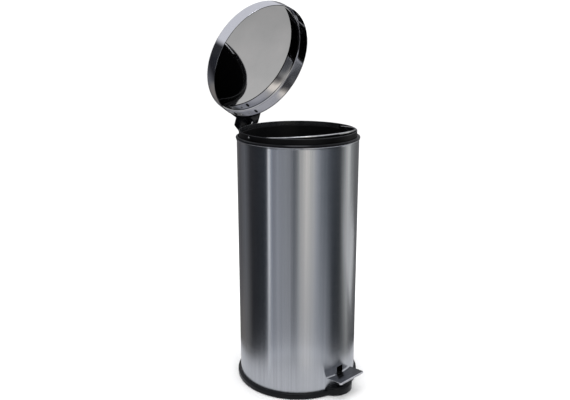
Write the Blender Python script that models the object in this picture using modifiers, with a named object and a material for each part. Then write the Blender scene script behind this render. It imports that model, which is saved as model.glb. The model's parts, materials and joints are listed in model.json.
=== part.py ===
"""Pedal bin: a round steel bin whose hinged lid is worked by a foot pedal.

The frame is +Z up, with the origin at the centre of the base's underside. X is the bin's side, -Y is
its front, where the pedal is, and +Y is its back, where the lid hinges. The bin stands with its
pedal pressed down and its lid open. The lid is modelled closed and hangs on an empty at the hinge,
which is turned by the open angle. All lengths are in metres, and angles are in degrees until used.
"""
import math

import bmesh
import bpy
from mathutils import Matrix, Vector

# Fits
GAP = 0.0003                     # between two pieces that touch
OVERCUT = 0.0100                 # how far a cutter runs past what it cuts
CHAMFER = 0.0005                 # on the ends of the pins
FACETS = 72                      # facets round the body's full turn
SMALL_FACETS = 16                # facets round a pin, screw or hole

# Body shell: a rolled steel tube
SHELL_RADIUS = 0.1475
SHELL_WALL = 0.0006
SHELL_BOTTOM = 0.0140
SHELL_TOP = 0.6190

# Base moulding
BASE_STEP = 0.0070               # the ring stands out this far from the shell
BASE_FLOOR = 0.0030
BASE_EDGE = 0.0012               # chamfer on the ring's top edge
SPIGOT_WALL = 0.0022             # the upstand that the shell is pushed over
SPIGOT_TOP = 0.0300
FOOT_REACH = 0.0192              # how far the front foot stands out of the base ring
FOOT_HALF_WIDTH = 0.0420
FOOT_TOP = 0.0220
FOOT_EDGE = 0.0060

# Top collar
COLLAR_OVERHANG = 0.0022         # of the flange beyond the shell
COLLAR_FLANGE = 0.0027           # thickness of the flange over the shell's edge
COLLAR_SEAT = 0.0050             # from the shell's edge up to the bucket's seat
COLLAR_LEDGE = 0.0026
COLLAR_SKIRT = 0.0180            # depth of the skirt inside the shell
COLLAR_SKIRT_WALL = 0.0020
COLLAR_CROWN = 0.0025            # from the shell's radius in to the top of the sloping face
COLLAR_MOUTH = 0.0083            # from the shell's radius in to the mouth
COLLAR_EDGE = 0.0005

# Inner bucket
BUCKET_RIM_STEP = 0.0037         # the rim stands out this far from the wall below it
BUCKET_RIM_WALL = 0.0023
BUCKET_RIM_HEIGHT = 0.0132
BUCKET_TAPER = 0.0135            # the foot's radius is smaller than the top's by this
BUCKET_WALL = 0.0015
BUCKET_BOTTOM = 0.0680
BUCKET_TURN = -8.0               # the bucket is dropped in slightly turned
BUCKET_CLEARANCE = 0.0007        # to the collar's mouth

# Bucket handle
HANDLE_WIRE = 0.0020             # radius
HANDLE_INSET = 0.0038            # from the rim's inner face to the wire's centre
HANDLE_SETBACK = 0.0030          # from the rim's outer face in to the front of the arch
HANDLE_PIVOT_DROP = 0.0065       # below the bucket's rim
HANDLE_BEND = 0.0030
HANDLE_END = 0.0014              # how far the wire stands out of the rim
HANDLE_POINTS = 36               # along the arch

# Lid
LID_OVERHANG = 0.0009            # beyond the shell
LID_WALL = 0.0006
LID_DEPTH = 0.0320
LID_EDGE = 0.0056
LID_OPEN = 68.2
HINGE_BACK = 0.0362              # from the shell's surface back to the hinge's axis
HINGE_DROP = 0.0071              # from the closed lid's edge down to the hinge's axis

# Lid arm
ARM_HALF_WIDTH = 0.0400
ARM_ROOT_HALF_WIDTH = 0.0253
ARM_BEVEL = 0.0140               # length of the taper at the hinge end
ARM_PLATE = 0.0040
ARM_WALL = 0.0060
ARM_HEIGHT = 0.0274
ARM_TAIL = 0.0010                # how far the plate passes the hinge's axis
EAR_THICKNESS = 0.0058
EAR_RADIUS = 0.0070
WEB_THICKNESS = 0.0035
WEB_OFFSET = 0.0054              # from the rod's centre to the web's near face
WEB_MARGIN = 0.0026              # material round the cam slot
TAB_SIDE = 0.0350
TAB_THICKNESS = 0.0022
TAB_HEIGHT = 0.0114
TAB_REACH = 0.0013               # how far a tab stands inside the lid's skirt
SLOT_CLEARANCE = 0.0003
FIXING_HEIGHT = 0.0137           # of the tabs and screws above the lid's edge
LID_SCREW_SIDE = 0.0150
LID_SCREW_RADIUS = 0.0016
LID_SCREW_HEAD = 0.0030
LID_SCREW_HEAD_HEIGHT = 0.0016
LID_SCREW_DEPTH = 0.0045

# Hinge
PIN_RADIUS = 0.0025
PIN_HEAD_RADIUS = 0.0042
PIN_HEAD = 0.0016
PIN_TIP = 0.0028                 # beyond the ear, on the clip's side
CLIP_RADIUS = 0.0048
CLIP_THICKNESS = 0.0009
GROOVE_DEPTH = 0.0005
CHEEK_THICKNESS = 0.0067
CHEEK_RADIUS = 0.0060
SADDLE_HALF_WIDTH = 0.0280
SADDLE_THICKNESS = 0.0092
SADDLE_DROP = 0.0190             # from the shell's edge down to the saddle's top
SADDLE_HEIGHT = 0.0690
COVER_WALL = 0.0030
COVER_STEP = 0.0010              # the cover starts this far below the saddle's top
CHANNEL_FRONT = 0.0045           # wall of the saddle in front of the hollow cover
CHANNEL_FLOOR = 0.0048           # from the saddle's bottom up to the hollow's floor
BACKING_WALL = 0.0013
BACKING_HALF_WIDTH = 0.0300
BACKING_MARGIN = 0.0025          # the plate ends this far inside the saddle's ends
HINGE_SCREW_SIDE = 0.0230
HINGE_SCREW_MARGIN = 0.0125      # from the saddle's ends to its screws
HINGE_SCREW_RADIUS = 0.0018
HINGE_SCREW_HEAD = 0.0040
HINGE_SCREW_HEAD_HEIGHT = 0.0018
HINGE_SCREW_DEPTH = 0.0060       # thread inside the saddle

# Lift rod
ROD_RADIUS = 0.0020
ROD_INSET = 0.0070               # from the shell's surface in to the rod's long straight
ROD_BEND = 0.0050
ROD_TRAVEL = 0.0250
ROD_FORWARD = 0.0160             # the hook stands this far in front of the hinge's axis
ROD_LIFT = 0.0210                # and this far above it with the lid open
ROD_HOOK = 0.0115                # length of the hook at the top
ROD_FOOT_END = 0.0020            # of the foot past its clip
JOGGLE_RISE = 0.0290             # from the saddle's bottom to where the rod turns outwards
ROD_SLOT_SIDE = 0.0020           # room beside the rod in its slots
ROD_CLEARANCE = 0.00035          # round the rod in its guides and slots
GUIDE_HALF_WIDTH = 0.0090
GUIDE_HEIGHT = 0.0140
GUIDE_FRONT = 0.0018             # from the rod's face to the guide's inner face
UPPER_GUIDE_DROP = 0.1490        # from the shell's top edge
LOWER_GUIDE_RISE = 0.1360        # from the shell's bottom edge
ROD_CLIP_MARGIN = 0.0025         # of the clip round the rod's foot
ROD_CLIP_THICKNESS = 0.0012

# Pedal lever: a pressed channel that rocks on a pin
LEVER_HALF_WIDTH = 0.0090
LEVER_WALL = 0.0020
LEVER_PIVOT_FRONT = 0.0250       # from the bin's axis forward to the pivot
LEVER_PIVOT_HEIGHT = 0.0400
LEVER_END_HEIGHT = 0.0480        # height of the rod's hole with the pedal pressed
LEVER_END_WALL = 0.0022          # round the rod's hole
LEVER_CLEVIS = 0.0155            # the channel is open this far in front of the rod
LEVER_END_RISE = 0.0015          # of the channel's top over the round end
LEVER_PIVOT_RISE = 0.0070        # of the channel's top over the pivot
LEVER_BOSS_WALL = 0.0035         # under the pivot's hole
LEVER_FRONT_DEPTH = 0.0065       # of the channel where it leaves the shell
LEVER_NOSE_DEPTH = 0.0045        # from the plate's top down to the channel's edge at its nose
LEVER_NOSE_GAP = 0.0010          # from the nose to the plate's hem
LEVER_STRAIGHT = 0.0040          # the channel keeps its depth this far inside the plate's edge
LEVER_PIN_RADIUS = 0.0030
LEVER_PIN_HEAD = 0.0045
LEVER_PIN_HEAD_THICKNESS = 0.0015
LEVER_EAR_THICKNESS = 0.0046
LEVER_EAR_RADIUS = 0.0080
LEVER_EAR_FLARE = 0.0040         # the ears are this much wider at their foot, on each side
LEVER_SLOT_MARGIN = 0.0016       # round the lever where it leaves the shell
NOTCH_SIDE = 0.0070              # room beside the lever's end in the base's upstand
NOTCH_DEPTH = 0.0120             # and in front of the rod
NOTCH_FLOOR = 0.0010             # of the upstand left under it

# Pedal plate
PEDAL_HALF_WIDTH = 0.0425
PEDAL_GAP = 0.0033               # from the shell to the back edge, which follows it
PEDAL_DEPTH = 0.0392
PEDAL_BACK_HEIGHT = 0.0466       # top surface, pedal pressed
PEDAL_SLOPE = 4.3
PEDAL_WALL = 0.0015
PEDAL_HEM = 0.0046
PEDAL_HEM_DEPTH = 0.0070
PEDAL_CORNER = 0.0050

# Places worked out from the sizes above
SHELL_INSIDE = SHELL_RADIUS - SHELL_WALL - GAP
SHELL_OUTSIDE = SHELL_RADIUS + GAP
BASE_RADIUS = SHELL_RADIUS + BASE_STEP
COLLAR_RADIUS = SHELL_RADIUS + COLLAR_OVERHANG
COLLAR_INSIDE = SHELL_RADIUS - COLLAR_MOUTH
BUCKET_TOP_RADIUS = COLLAR_INSIDE - BUCKET_CLEARANCE
BUCKET_FOOT_RADIUS = BUCKET_TOP_RADIUS - BUCKET_TAPER
BUCKET_RIM_RADIUS = BUCKET_TOP_RADIUS + BUCKET_RIM_STEP
BUCKET_RIM_INSIDE = BUCKET_RIM_RADIUS - BUCKET_RIM_WALL
HANDLE_HALF_WIDTH = BUCKET_RIM_INSIDE - HANDLE_INSET
HANDLE_LENGTH = BUCKET_RIM_RADIUS - HANDLE_SETBACK
LID_RADIUS = SHELL_RADIUS + LID_OVERHANG
COLLAR_FLANGE_TOP = SHELL_TOP + GAP + COLLAR_FLANGE
BUCKET_SEAT = SHELL_TOP + COLLAR_SEAT
BUCKET_RIM_BOTTOM = BUCKET_SEAT + GAP
BUCKET_TOP = BUCKET_RIM_BOTTOM + BUCKET_RIM_HEIGHT
HANDLE_PIVOT = Vector((0.0, 0.0, BUCKET_TOP - HANDLE_PIVOT_DROP))
LID_BOTTOM = COLLAR_FLANGE_TOP + GAP
LID_TOP = LID_BOTTOM + LID_DEPTH
HINGE = Vector((0.0, SHELL_RADIUS + HINGE_BACK, LID_BOTTOM - HINGE_DROP))
ARM_BOTTOM = LID_BOTTOM + GAP
ARM_INSIDE = LID_RADIUS + GAP
EAR_FAR = ARM_ROOT_HALF_WIDTH
EAR_NEAR = EAR_FAR - EAR_THICKNESS
CHEEK_FAR = EAR_NEAR - GAP
CHEEK_NEAR = CHEEK_FAR - CHEEK_THICKNESS
FIXING_Z = LID_BOTTOM + FIXING_HEIGHT
SADDLE_TOP = SHELL_TOP - SADDLE_DROP
SADDLE_BOTTOM = SADDLE_TOP - SADDLE_HEIGHT
HINGE_SCREW_HEIGHTS = (SADDLE_BOTTOM + HINGE_SCREW_MARGIN, SADDLE_TOP - HINGE_SCREW_MARGIN)
JOGGLE_START = SADDLE_BOTTOM + JOGGLE_RISE
ROD_BACK = SHELL_RADIUS - ROD_INSET
ROD_OUTSIDE = HINGE.y - ROD_FORWARD
ROD_TOP = HINGE.z + ROD_LIFT
LEVER_PIVOT = Vector((0.0, -LEVER_PIVOT_FRONT, LEVER_PIVOT_HEIGHT))
LEVER_END = Vector((0.0, ROD_BACK, LEVER_END_HEIGHT))
LEVER_ARM = math.hypot(LEVER_END.y - LEVER_PIVOT.y, LEVER_END.z - LEVER_PIVOT.z)
LEVER_REST = math.asin((LEVER_END.z - LEVER_PIVOT.z) / LEVER_ARM)
LEVER_SWING = LEVER_REST + math.asin((ROD_TRAVEL - LEVER_END.z + LEVER_PIVOT.z) / LEVER_ARM)
LEVER_WEB_END = ROD_BACK - LEVER_CLEVIS
LEVER_END_RADIUS = ROD_RADIUS + LEVER_END_WALL
PEDAL_BACK = SHELL_RADIUS + PEDAL_GAP
PEDAL_FRONT = PEDAL_BACK + PEDAL_DEPTH
PEDAL_UNDERSIDE = PEDAL_BACK_HEIGHT - PEDAL_WALL
LEVER_FRONT_BOTTOM = PEDAL_UNDERSIDE - LEVER_FRONT_DEPTH


# ---------------------------------------------------------------- scene and materials

def new_collection(name):
    collection = bpy.data.collections.new(name)
    bpy.context.scene.collection.children.link(collection)
    return collection


for old in list(bpy.data.objects):
    bpy.data.objects.remove(old, do_unlink=True)
PIECES = new_collection("pedal_bin")
TOOLS = new_collection("cutters")


def new_material(name, hex_colour, metallic, roughness):
    """A Principled BSDF of an sRGB colour such as "8A8C90"."""
    channels = [int(hex_colour[i:i + 2], 16) / 255 for i in (0, 2, 4)]
    linear = [c / 12.92 if c <= 0.04045 else ((c + 0.055) / 1.055) ** 2.4 for c in channels]
    material = bpy.data.materials.new(name)
    material.use_nodes = True
    shader = material.node_tree.nodes["Principled BSDF"]
    shader.inputs["Base Color"].default_value = (*linear, 1.0)
    shader.inputs["Metallic"].default_value = metallic
    shader.inputs["Roughness"].default_value = roughness
    return material


BRUSHED_STEEL = new_material("brushed_steel", "A4A6A9", 1.0, 0.28)
POLISHED_STEEL = new_material("polished_steel", "C2C4C8", 1.0, 0.10)
STEEL_WIRE = new_material("steel_wire", "C8CACC", 1.0, 0.18)
PRESSED_STEEL = new_material("pressed_steel", "7C7E82", 1.0, 0.35)
GLOSS_BLACK = new_material("gloss_black_plastic", "121315", 0.0, 0.22)
MATTE_BLACK = new_material("matte_black_plastic", "0E0E10", 0.0, 0.45)


# ---------------------------------------------------------------- modelling tools

def piece(obj, material):
    """Give a finished sub-part its material."""
    obj.data.materials.clear()
    obj.data.materials.append(material)
    return obj


def add_mesh(name, mesh, matrix=Matrix.Identity(4)):
    obj = bpy.data.objects.new(name, mesh)
    obj.matrix_basis = matrix
    PIECES.objects.link(obj)
    return obj


def placed(centre, direction):
    """The matrix that stands a local +Z shape at centre, along direction."""
    turn = Vector(direction).to_track_quat("Z", "Y").to_matrix().to_4x4()
    return Matrix.Translation(centre) @ turn


def turned(name, outline, facets=FACETS, closed=False, matrix=Matrix.Identity(4)):
    """Spin an outline of (radius, height) points, which runs down its outer side."""
    mesh = bpy.data.meshes.new(name)
    edges = [(i, i + 1) for i in range(len(outline) - 1)]
    if closed:
        edges.append((len(outline) - 1, 0))
    mesh.from_pydata([(radius, 0.0, height) for radius, height in outline], edges, [])
    obj = add_mesh(name, mesh, matrix)
    screw = obj.modifiers.new("turn", "SCREW")
    screw.axis = "Z"
    screw.steps = facets
    screw.render_steps = facets
    screw.use_merge_vertices = True
    screw.merge_threshold = 0.00001
    return obj


def box(name, low, high, matrix=Matrix.Identity(4)):
    """A box between two corners of its own frame."""
    low, high = Vector(low), Vector(high)
    shape = bmesh.new()
    size = Matrix.Diagonal((*(high - low), 1.0))
    bmesh.ops.create_cube(shape, size=1.0, matrix=Matrix.Translation((low + high) / 2) @ size)
    mesh = bpy.data.meshes.new(name)
    shape.to_mesh(mesh)
    shape.free()
    return add_mesh(name, mesh, matrix)


def cylinder(name, radius, start, end, facets=SMALL_FACETS):
    """A cylinder from start to end."""
    start, end = Vector(start), Vector(end)
    shape = bmesh.new()
    bmesh.ops.create_cone(shape, cap_ends=True, segments=facets, radius1=radius, radius2=radius,
                          depth=(end - start).length)
    mesh = bpy.data.meshes.new(name)
    shape.to_mesh(mesh)
    shape.free()
    return add_mesh(name, mesh, placed((start + end) / 2, end - start))


def as_mesh(curve_object):
    """Replace a curve object by a closed mesh object in the same place."""
    bpy.context.view_layer.update()
    evaluated = curve_object.evaluated_get(bpy.context.evaluated_depsgraph_get())
    mesh = bpy.data.meshes.new_from_object(evaluated)
    shape = bmesh.new()
    shape.from_mesh(mesh)
    bmesh.ops.remove_doubles(shape, verts=shape.verts, dist=0.000001)
    bmesh.ops.recalc_face_normals(shape, faces=shape.faces)
    shape.to_mesh(mesh)
    shape.free()
    name, matrix = curve_object.name, curve_object.matrix_world.copy()
    bpy.data.objects.remove(curve_object, do_unlink=True)
    return add_mesh(name, mesh, matrix)


def slab(name, outline, low, high, plane="XY"):
    """A flat outline, thick from low to high along the axis that its plane leaves out."""
    curve = bpy.data.curves.new(name, "CURVE")
    curve.dimensions = "2D"
    curve.fill_mode = "BOTH"
    curve.extrude = (high - low) / 2
    spline = curve.splines.new("POLY")
    spline.points.add(len(outline) - 1)
    for point, (a, b) in zip(spline.points, outline):
        point.co = (a, b, 0.0, 1.0)
    spline.use_cyclic_u = True
    obj = bpy.data.objects.new(name, curve)
    PIECES.objects.link(obj)
    middle = (low + high) / 2
    if plane == "XY":
        obj.matrix_basis = Matrix.Translation((0.0, 0.0, middle))
    else:
        yz_plane = Matrix(((0, 0, 1, middle), (1, 0, 0, 0), (0, 1, 0, 0), (0, 0, 0, 1)))
        obj.matrix_basis = yz_plane
    return as_mesh(obj)


def wire(name, points, radius):
    """A round wire along a path."""
    curve = bpy.data.curves.new(name, "CURVE")
    curve.dimensions = "3D"
    curve.bevel_depth = radius
    curve.bevel_resolution = 2
    curve.use_fill_caps = True
    spline = curve.splines.new("POLY")
    spline.points.add(len(points) - 1)
    for point, place in zip(spline.points, points):
        point.co = (*place, 1.0)
    obj = bpy.data.objects.new(name, curve)
    PIECES.objects.link(obj)
    return obj


def arc(centre, radius, start, end, steps):
    """Points of an arc in a plane, from one angle to another in degrees."""
    angles = [math.radians(start + (end - start) * i / steps) for i in range(steps + 1)]
    return [(centre[0] + radius * math.cos(a), centre[1] + radius * math.sin(a)) for a in angles]


def rounded(corners, radius, steps=4):
    """The path through the corners, each of them turned in an arc."""
    corners = [Vector(corner) for corner in corners]
    path = [corners[0]]
    for before, corner, after in zip(corners, corners[1:], corners[2:]):
        back = (before - corner).normalized()
        ahead = (after - corner).normalized()
        half = back.angle(ahead) / 2
        centre = corner + (back + ahead).normalized() * (radius / math.sin(half))
        start = (corner + back * (radius / math.tan(half)) - centre).normalized()
        end = (corner + ahead * (radius / math.tan(half)) - centre).normalized()
        path += [centre + start.slerp(end, i / steps) * radius for i in range(steps + 1)]
    return path + [corners[-1]]


def combine(obj, tool, operation="DIFFERENCE"):
    """Cut obj with a tool, or join the tool to it, and put the tool away."""
    modifier = obj.modifiers.new(tool.name, "BOOLEAN")
    modifier.operation = operation
    modifier.object = tool
    tool.hide_render = True
    tool.display_type = "WIRE"
    PIECES.objects.unlink(tool)
    TOOLS.objects.link(tool)


def hang(frame, *objects):
    """Parent objects, modelled with their joint at rest in the bin's frame, to a joint's empty."""
    for obj in objects:
        obj.parent = frame
        obj.matrix_parent_inverse = Matrix.Translation(-frame.location)


def joint_frame(name, place, turn=(0.0, 0.0, 0.0)):
    empty = bpy.data.objects.new(name, None)
    empty.location = place
    empty.rotation_euler = turn
    empty.empty_display_size = 0.02
    PIECES.objects.link(empty)
    return empty


def radial(side, radius):
    """The angle at the back of the bin, from +Y, of a place that lies side along X."""
    return math.asin(side / radius)


def around(angle, radius, height):
    """A point on a circle about the bin's axis, at an angle from +Y towards +X."""
    return Vector((radius * math.sin(angle), radius * math.cos(angle), height))


def screw_outline(radius, length, head_radius, head_height):
    """A domed screw along +Z: its head's underside is at 0, and its thread runs to -length."""
    dome = [(head_radius * f, head_height * (1.0 - 0.45 * f * f)) for f in (0.0, 0.5, 0.85, 1.0)]
    return dome + [(head_radius, 0.0), (radius, 0.0), (radius, -length), (0.0, -length)]


# ---------------------------------------------------------------- body

def build_body_shell():
    """The steel tube, with a slot for the lever in front and one for the rod behind."""
    inner = SHELL_RADIUS - SHELL_WALL
    shell = turned("body_shell", [(inner, SHELL_TOP), (SHELL_RADIUS, SHELL_TOP),
                                  (SHELL_RADIUS, SHELL_BOTTOM), (inner, SHELL_BOTTOM)], closed=True)
    combine(shell, lever_slot())
    combine(shell, rod_slot("shell_rod_slot", SHELL_RADIUS))
    for name, angle, height in hinge_screw_places():
        combine(shell, hinge_screw_hole("shell_" + name, angle, height, SHELL_RADIUS + OVERCUT))
    return piece(shell, BRUSHED_STEEL)


def lever_slot():
    """The lever's way through the shell, for its whole swing."""
    half_width = LEVER_HALF_WIDTH + LEVER_SLOT_MARGIN
    rise = (SHELL_RADIUS - LEVER_PIVOT_FRONT) * math.sin(LEVER_SWING)
    low = LEVER_FRONT_BOTTOM - LEVER_SLOT_MARGIN
    high = PEDAL_UNDERSIDE + rise + LEVER_SLOT_MARGIN
    return box("lever_slot", (-half_width, -SHELL_RADIUS - OVERCUT, low),
               (half_width, -SHELL_RADIUS + 2 * OVERCUT, high))


def rod_slot(name, far_radius):
    """The rod's way out through the back, as far as a radius, for its whole travel."""
    low = JOGGLE_START + SHELL_INSIDE - ROD_BACK - ROD_TRAVEL - 3 * ROD_RADIUS
    high = JOGGLE_START + far_radius - ROD_BACK + 3 * ROD_RADIUS
    half_width = ROD_RADIUS + ROD_SLOT_SIDE
    return box(name, (-half_width, ROD_BACK, low), (half_width, far_radius + GAP, high))


def build_base_moulding():
    """The floor, the ring under the shell, the front foot and the lever's two ears."""
    ledge = SHELL_BOTTOM - GAP
    base = turned("base_moulding", [
        (0.0, BASE_FLOOR), (SHELL_INSIDE - SPIGOT_WALL, BASE_FLOOR),
        (SHELL_INSIDE - SPIGOT_WALL, SPIGOT_TOP), (SHELL_INSIDE, SPIGOT_TOP), (SHELL_INSIDE, ledge),
        (BASE_RADIUS - BASE_EDGE, ledge), (BASE_RADIUS, ledge - BASE_EDGE), (BASE_RADIUS, 0.0),
        (0.0, 0.0)])
    combine(base, front_foot(), "UNION")
    for side in (-1, 1):
        combine(base, lever_ear(side), "UNION")
    reach = LEVER_HALF_WIDTH + LEVER_EAR_THICKNESS + OVERCUT
    combine(base, cylinder("lever_pin_hole", LEVER_PIN_RADIUS + GAP,
                           LEVER_PIVOT - Vector((reach, 0, 0)), LEVER_PIVOT + Vector((reach, 0, 0))))
    notch_half_width = LEVER_HALF_WIDTH + NOTCH_SIDE
    combine(base, box("lever_notch", (-notch_half_width, ROD_BACK - NOTCH_DEPTH, ledge + NOTCH_FLOOR),
                      (notch_half_width, SHELL_RADIUS, SPIGOT_TOP + OVERCUT)))
    return piece(base, GLOSS_BLACK)


def front_foot():
    """A rounded lobe that stops the bin tipping when the pedal is pressed."""
    ring_y = math.sqrt(BASE_RADIUS ** 2 - FOOT_HALF_WIDTH ** 2)
    reach = BASE_RADIUS + FOOT_REACH
    bulge = reach - ring_y
    radius = (FOOT_HALF_WIDTH ** 2 + bulge ** 2) / (2 * bulge)
    outline = [(0.0, FOOT_TOP)]
    outline += arc((radius - FOOT_EDGE, FOOT_TOP - FOOT_EDGE), FOOT_EDGE, 90, 0, 4)
    outline += [(radius, 0.0), (0.0, 0.0)]
    foot = turned("front_foot", outline, facets=48,
                  matrix=Matrix.Translation((0.0, radius - reach, 0.0)))
    inside = cylinder("foot_inside", SHELL_OUTSIDE, (0, 0, -OVERCUT), (0, 0, FOOT_TOP + OVERCUT),
                      FACETS)
    combine(foot, inside)
    return foot


def lever_ear(side):
    """One of the two ears that hold the lever's pin, standing on the floor."""
    foot = LEVER_EAR_RADIUS + LEVER_EAR_FLARE
    outline = [(LEVER_PIVOT.y - foot, BASE_FLOOR / 2), (LEVER_PIVOT.y + foot, BASE_FLOOR / 2)]
    outline += arc((LEVER_PIVOT.y, LEVER_PIVOT.z), LEVER_EAR_RADIUS, 0, 180, 8)
    near = LEVER_HALF_WIDTH + 2 * GAP
    low, high = sorted((side * near, side * (near + LEVER_EAR_THICKNESS)))
    return slab("lever_ear", outline, low, high, "YZ")


def build_top_collar():
    """The ring that covers the shell's edge and carries the bucket."""
    skirt = SHELL_INSIDE - COLLAR_SKIRT_WALL
    flange_bottom = SHELL_TOP + GAP
    crown = SHELL_RADIUS - COLLAR_CROWN
    collar = turned("top_collar", [
        (COLLAR_INSIDE, BUCKET_SEAT), (crown, BUCKET_SEAT),
        (SHELL_RADIUS - COLLAR_EDGE, COLLAR_FLANGE_TOP),
        (COLLAR_RADIUS - COLLAR_EDGE, COLLAR_FLANGE_TOP),
        (COLLAR_RADIUS, COLLAR_FLANGE_TOP - COLLAR_EDGE),
        (COLLAR_RADIUS, flange_bottom), (SHELL_INSIDE, flange_bottom),
        (SHELL_INSIDE, SHELL_TOP - COLLAR_SKIRT), (skirt, SHELL_TOP - COLLAR_SKIRT),
        (skirt, BUCKET_SEAT - COLLAR_LEDGE), (COLLAR_INSIDE, BUCKET_SEAT - COLLAR_LEDGE)],
        closed=True)
    return piece(collar, GLOSS_BLACK)


# ---------------------------------------------------------------- bucket and its handle

def build_inner_bucket():
    """A tapered plastic bucket that hangs by its rim, with two holes for the handle."""
    step = BUCKET_RIM_BOTTOM + BUCKET_WALL
    floor = BUCKET_BOTTOM + BUCKET_WALL
    bucket = turned("inner_bucket", [
        (0.0, floor), (BUCKET_FOOT_RADIUS - BUCKET_WALL, floor),
        (BUCKET_TOP_RADIUS - BUCKET_WALL, step), (BUCKET_RIM_INSIDE, step), (BUCKET_RIM_INSIDE, BUCKET_TOP),
        (BUCKET_RIM_RADIUS, BUCKET_TOP), (BUCKET_RIM_RADIUS, BUCKET_RIM_BOTTOM),
        (BUCKET_TOP_RADIUS, BUCKET_RIM_BOTTOM), (BUCKET_FOOT_RADIUS, BUCKET_BOTTOM),
        (0.0, BUCKET_BOTTOM)], matrix=Matrix.Rotation(math.radians(BUCKET_TURN), 4, "Z"))
    along = Matrix.Rotation(math.radians(BUCKET_TURN), 3, "Z") @ Vector((1.0, 0.0, 0.0))
    reach = along * (BUCKET_RIM_RADIUS + OVERCUT)
    combine(bucket, cylinder("handle_holes", HANDLE_WIRE + GAP, HANDLE_PIVOT - reach,
                             HANDLE_PIVOT + reach))
    return piece(bucket, MATTE_BLACK)


def handle_arch(steps):
    """The arch of the handle in its own plane: half an ellipse in front of its two bends."""
    depth = HANDLE_LENGTH - HANDLE_BEND
    angles = [math.pi * step / steps for step in range(1, steps)]
    return [Vector((-HANDLE_HALF_WIDTH * math.cos(angle), -HANDLE_BEND - depth * math.sin(angle), 0.0))
            for angle in angles]


def handle_rest():
    """The slope at which the handle's wire comes to lie on the rim, by halving an interval."""
    low, high = 0.0, math.radians(45)
    for _ in range(30):
        slope = (low + high) / 2
        nearest = min(rim_distance(point, slope) for point in handle_arch(180))
        if nearest < HANDLE_WIRE + GAP:
            low = slope
        else:
            high = slope
    return high


def rim_distance(point, slope):
    """How far a point of the handle, raised by a slope, is from the bucket's rim."""
    radius = math.hypot(point.x, point.y * math.cos(slope))
    over = -point.y * math.sin(slope) - HANDLE_PIVOT_DROP
    beside = max(BUCKET_RIM_INSIDE - radius, radius - BUCKET_RIM_RADIUS, 0.0)
    return math.hypot(beside, max(over, 0.0))


def build_bucket_handle():
    """A wire bail: an arch that lies on the rim, with its two ends turned out through the rim."""
    tip = BUCKET_RIM_RADIUS + HANDLE_END
    corner = HANDLE_HALF_WIDTH
    start = [(-tip, 0.0, 0.0), (-corner, 0.0, 0.0), (-corner, -HANDLE_LENGTH, 0.0)]
    end_bend = rounded(start, HANDLE_BEND)[:-1]
    mirrored = [Vector((-point.x, point.y, point.z)) for point in reversed(end_bend)]
    handle = wire("bucket_handle", end_bend + handle_arch(HANDLE_POINTS) + mirrored, HANDLE_WIRE)
    frame = joint_frame("handle_frame", HANDLE_PIVOT,
                        (-handle_rest(), 0.0, math.radians(BUCKET_TURN)))
    handle.parent = frame
    return piece(handle, STEEL_WIRE)


# ---------------------------------------------------------------- hinge at the back

def hinge_screw_places():
    """A name, an angle from +Y and a height for each hinge screw."""
    angle = radial(HINGE_SCREW_SIDE, SHELL_RADIUS)
    places = [(turn, height) for height in HINGE_SCREW_HEIGHTS for turn in (-angle, angle)]
    return [("hinge_screw_%d" % (i + 1), *place) for i, place in enumerate(places)]


def hinge_screw_hole(name, angle, height, far_radius):
    """A radial hole, open towards the bin's axis, for one hinge screw."""
    return cylinder(name + "_hole", HINGE_SCREW_RADIUS + GAP,
                    around(angle, SHELL_INSIDE - BACKING_WALL - OVERCUT, height),
                    around(angle, far_radius, height))


def build_hinge_base():
    """The bracket on the shell's back: a saddle, a hollow cover and two cheeks for the pin."""
    outer = SHELL_OUTSIDE + SADDLE_THICKNESS
    saddle = turned("hinge_base", [(SHELL_OUTSIDE, SADDLE_TOP), (outer, SADDLE_TOP),
                                   (outer, SADDLE_BOTTOM), (SHELL_OUTSIDE, SADDLE_BOTTOM)], closed=True)
    combine(saddle, box("saddle_width", (-SADDLE_HALF_WIDTH, ROD_BACK / 2, SADDLE_BOTTOM - OVERCUT),
                        (SADDLE_HALF_WIDTH, outer + OVERCUT, SADDLE_TOP + OVERCUT)), "INTERSECT")
    front = SHELL_OUTSIDE + SADDLE_THICKNESS / 3
    rear = HINGE.y + CHEEK_RADIUS
    outline = [(front, SADDLE_BOTTOM + COVER_WALL),
               (outer - COVER_WALL / 2, SADDLE_BOTTOM + COVER_WALL / 2),
               (rear, SADDLE_BOTTOM + rear - outer)]
    outline += arc((HINGE.y, HINGE.z), CHEEK_RADIUS, 0, 180, 10)
    outline += [(ROD_OUTSIDE, SADDLE_TOP - COVER_STEP), (front, SADDLE_TOP - COVER_STEP)]
    combine(saddle, slab("hinge_cover", outline, -CHEEK_FAR, CHEEK_FAR, "YZ"), "UNION")
    combine(saddle, slab("hinge_channel", hinge_channel_outline(outer, rear), -CHEEK_NEAR, CHEEK_NEAR,
                         "YZ"))
    combine(saddle, rod_slot("saddle_rod_slot", SHELL_OUTSIDE + CHANNEL_FRONT))
    for name, angle, height in hinge_screw_places():
        depth = SHELL_OUTSIDE + HINGE_SCREW_DEPTH + 2 * GAP
        combine(saddle, hinge_screw_hole("saddle_" + name, angle, height, depth))
    reach = Vector((EAR_FAR, 0.0, 0.0))
    combine(saddle, cylinder("cheek_pin_hole", PIN_RADIUS + GAP, HINGE - reach, HINGE + reach))
    return piece(saddle, GLOSS_BLACK)


def hinge_channel_outline(outer, rear):
    """The hollow in the cover where the rod and the lid arm's web move."""
    floor = SADDLE_BOTTOM + CHANNEL_FLOOR
    bend = outer - COVER_WALL / 4
    back = rear - COVER_WALL
    near = SHELL_OUTSIDE + CHANNEL_FRONT
    top = HINGE.z + 2 * OVERCUT
    return [(near, floor), (bend, floor), (back, floor + back - bend), (back, top), (near, top)]


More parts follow.
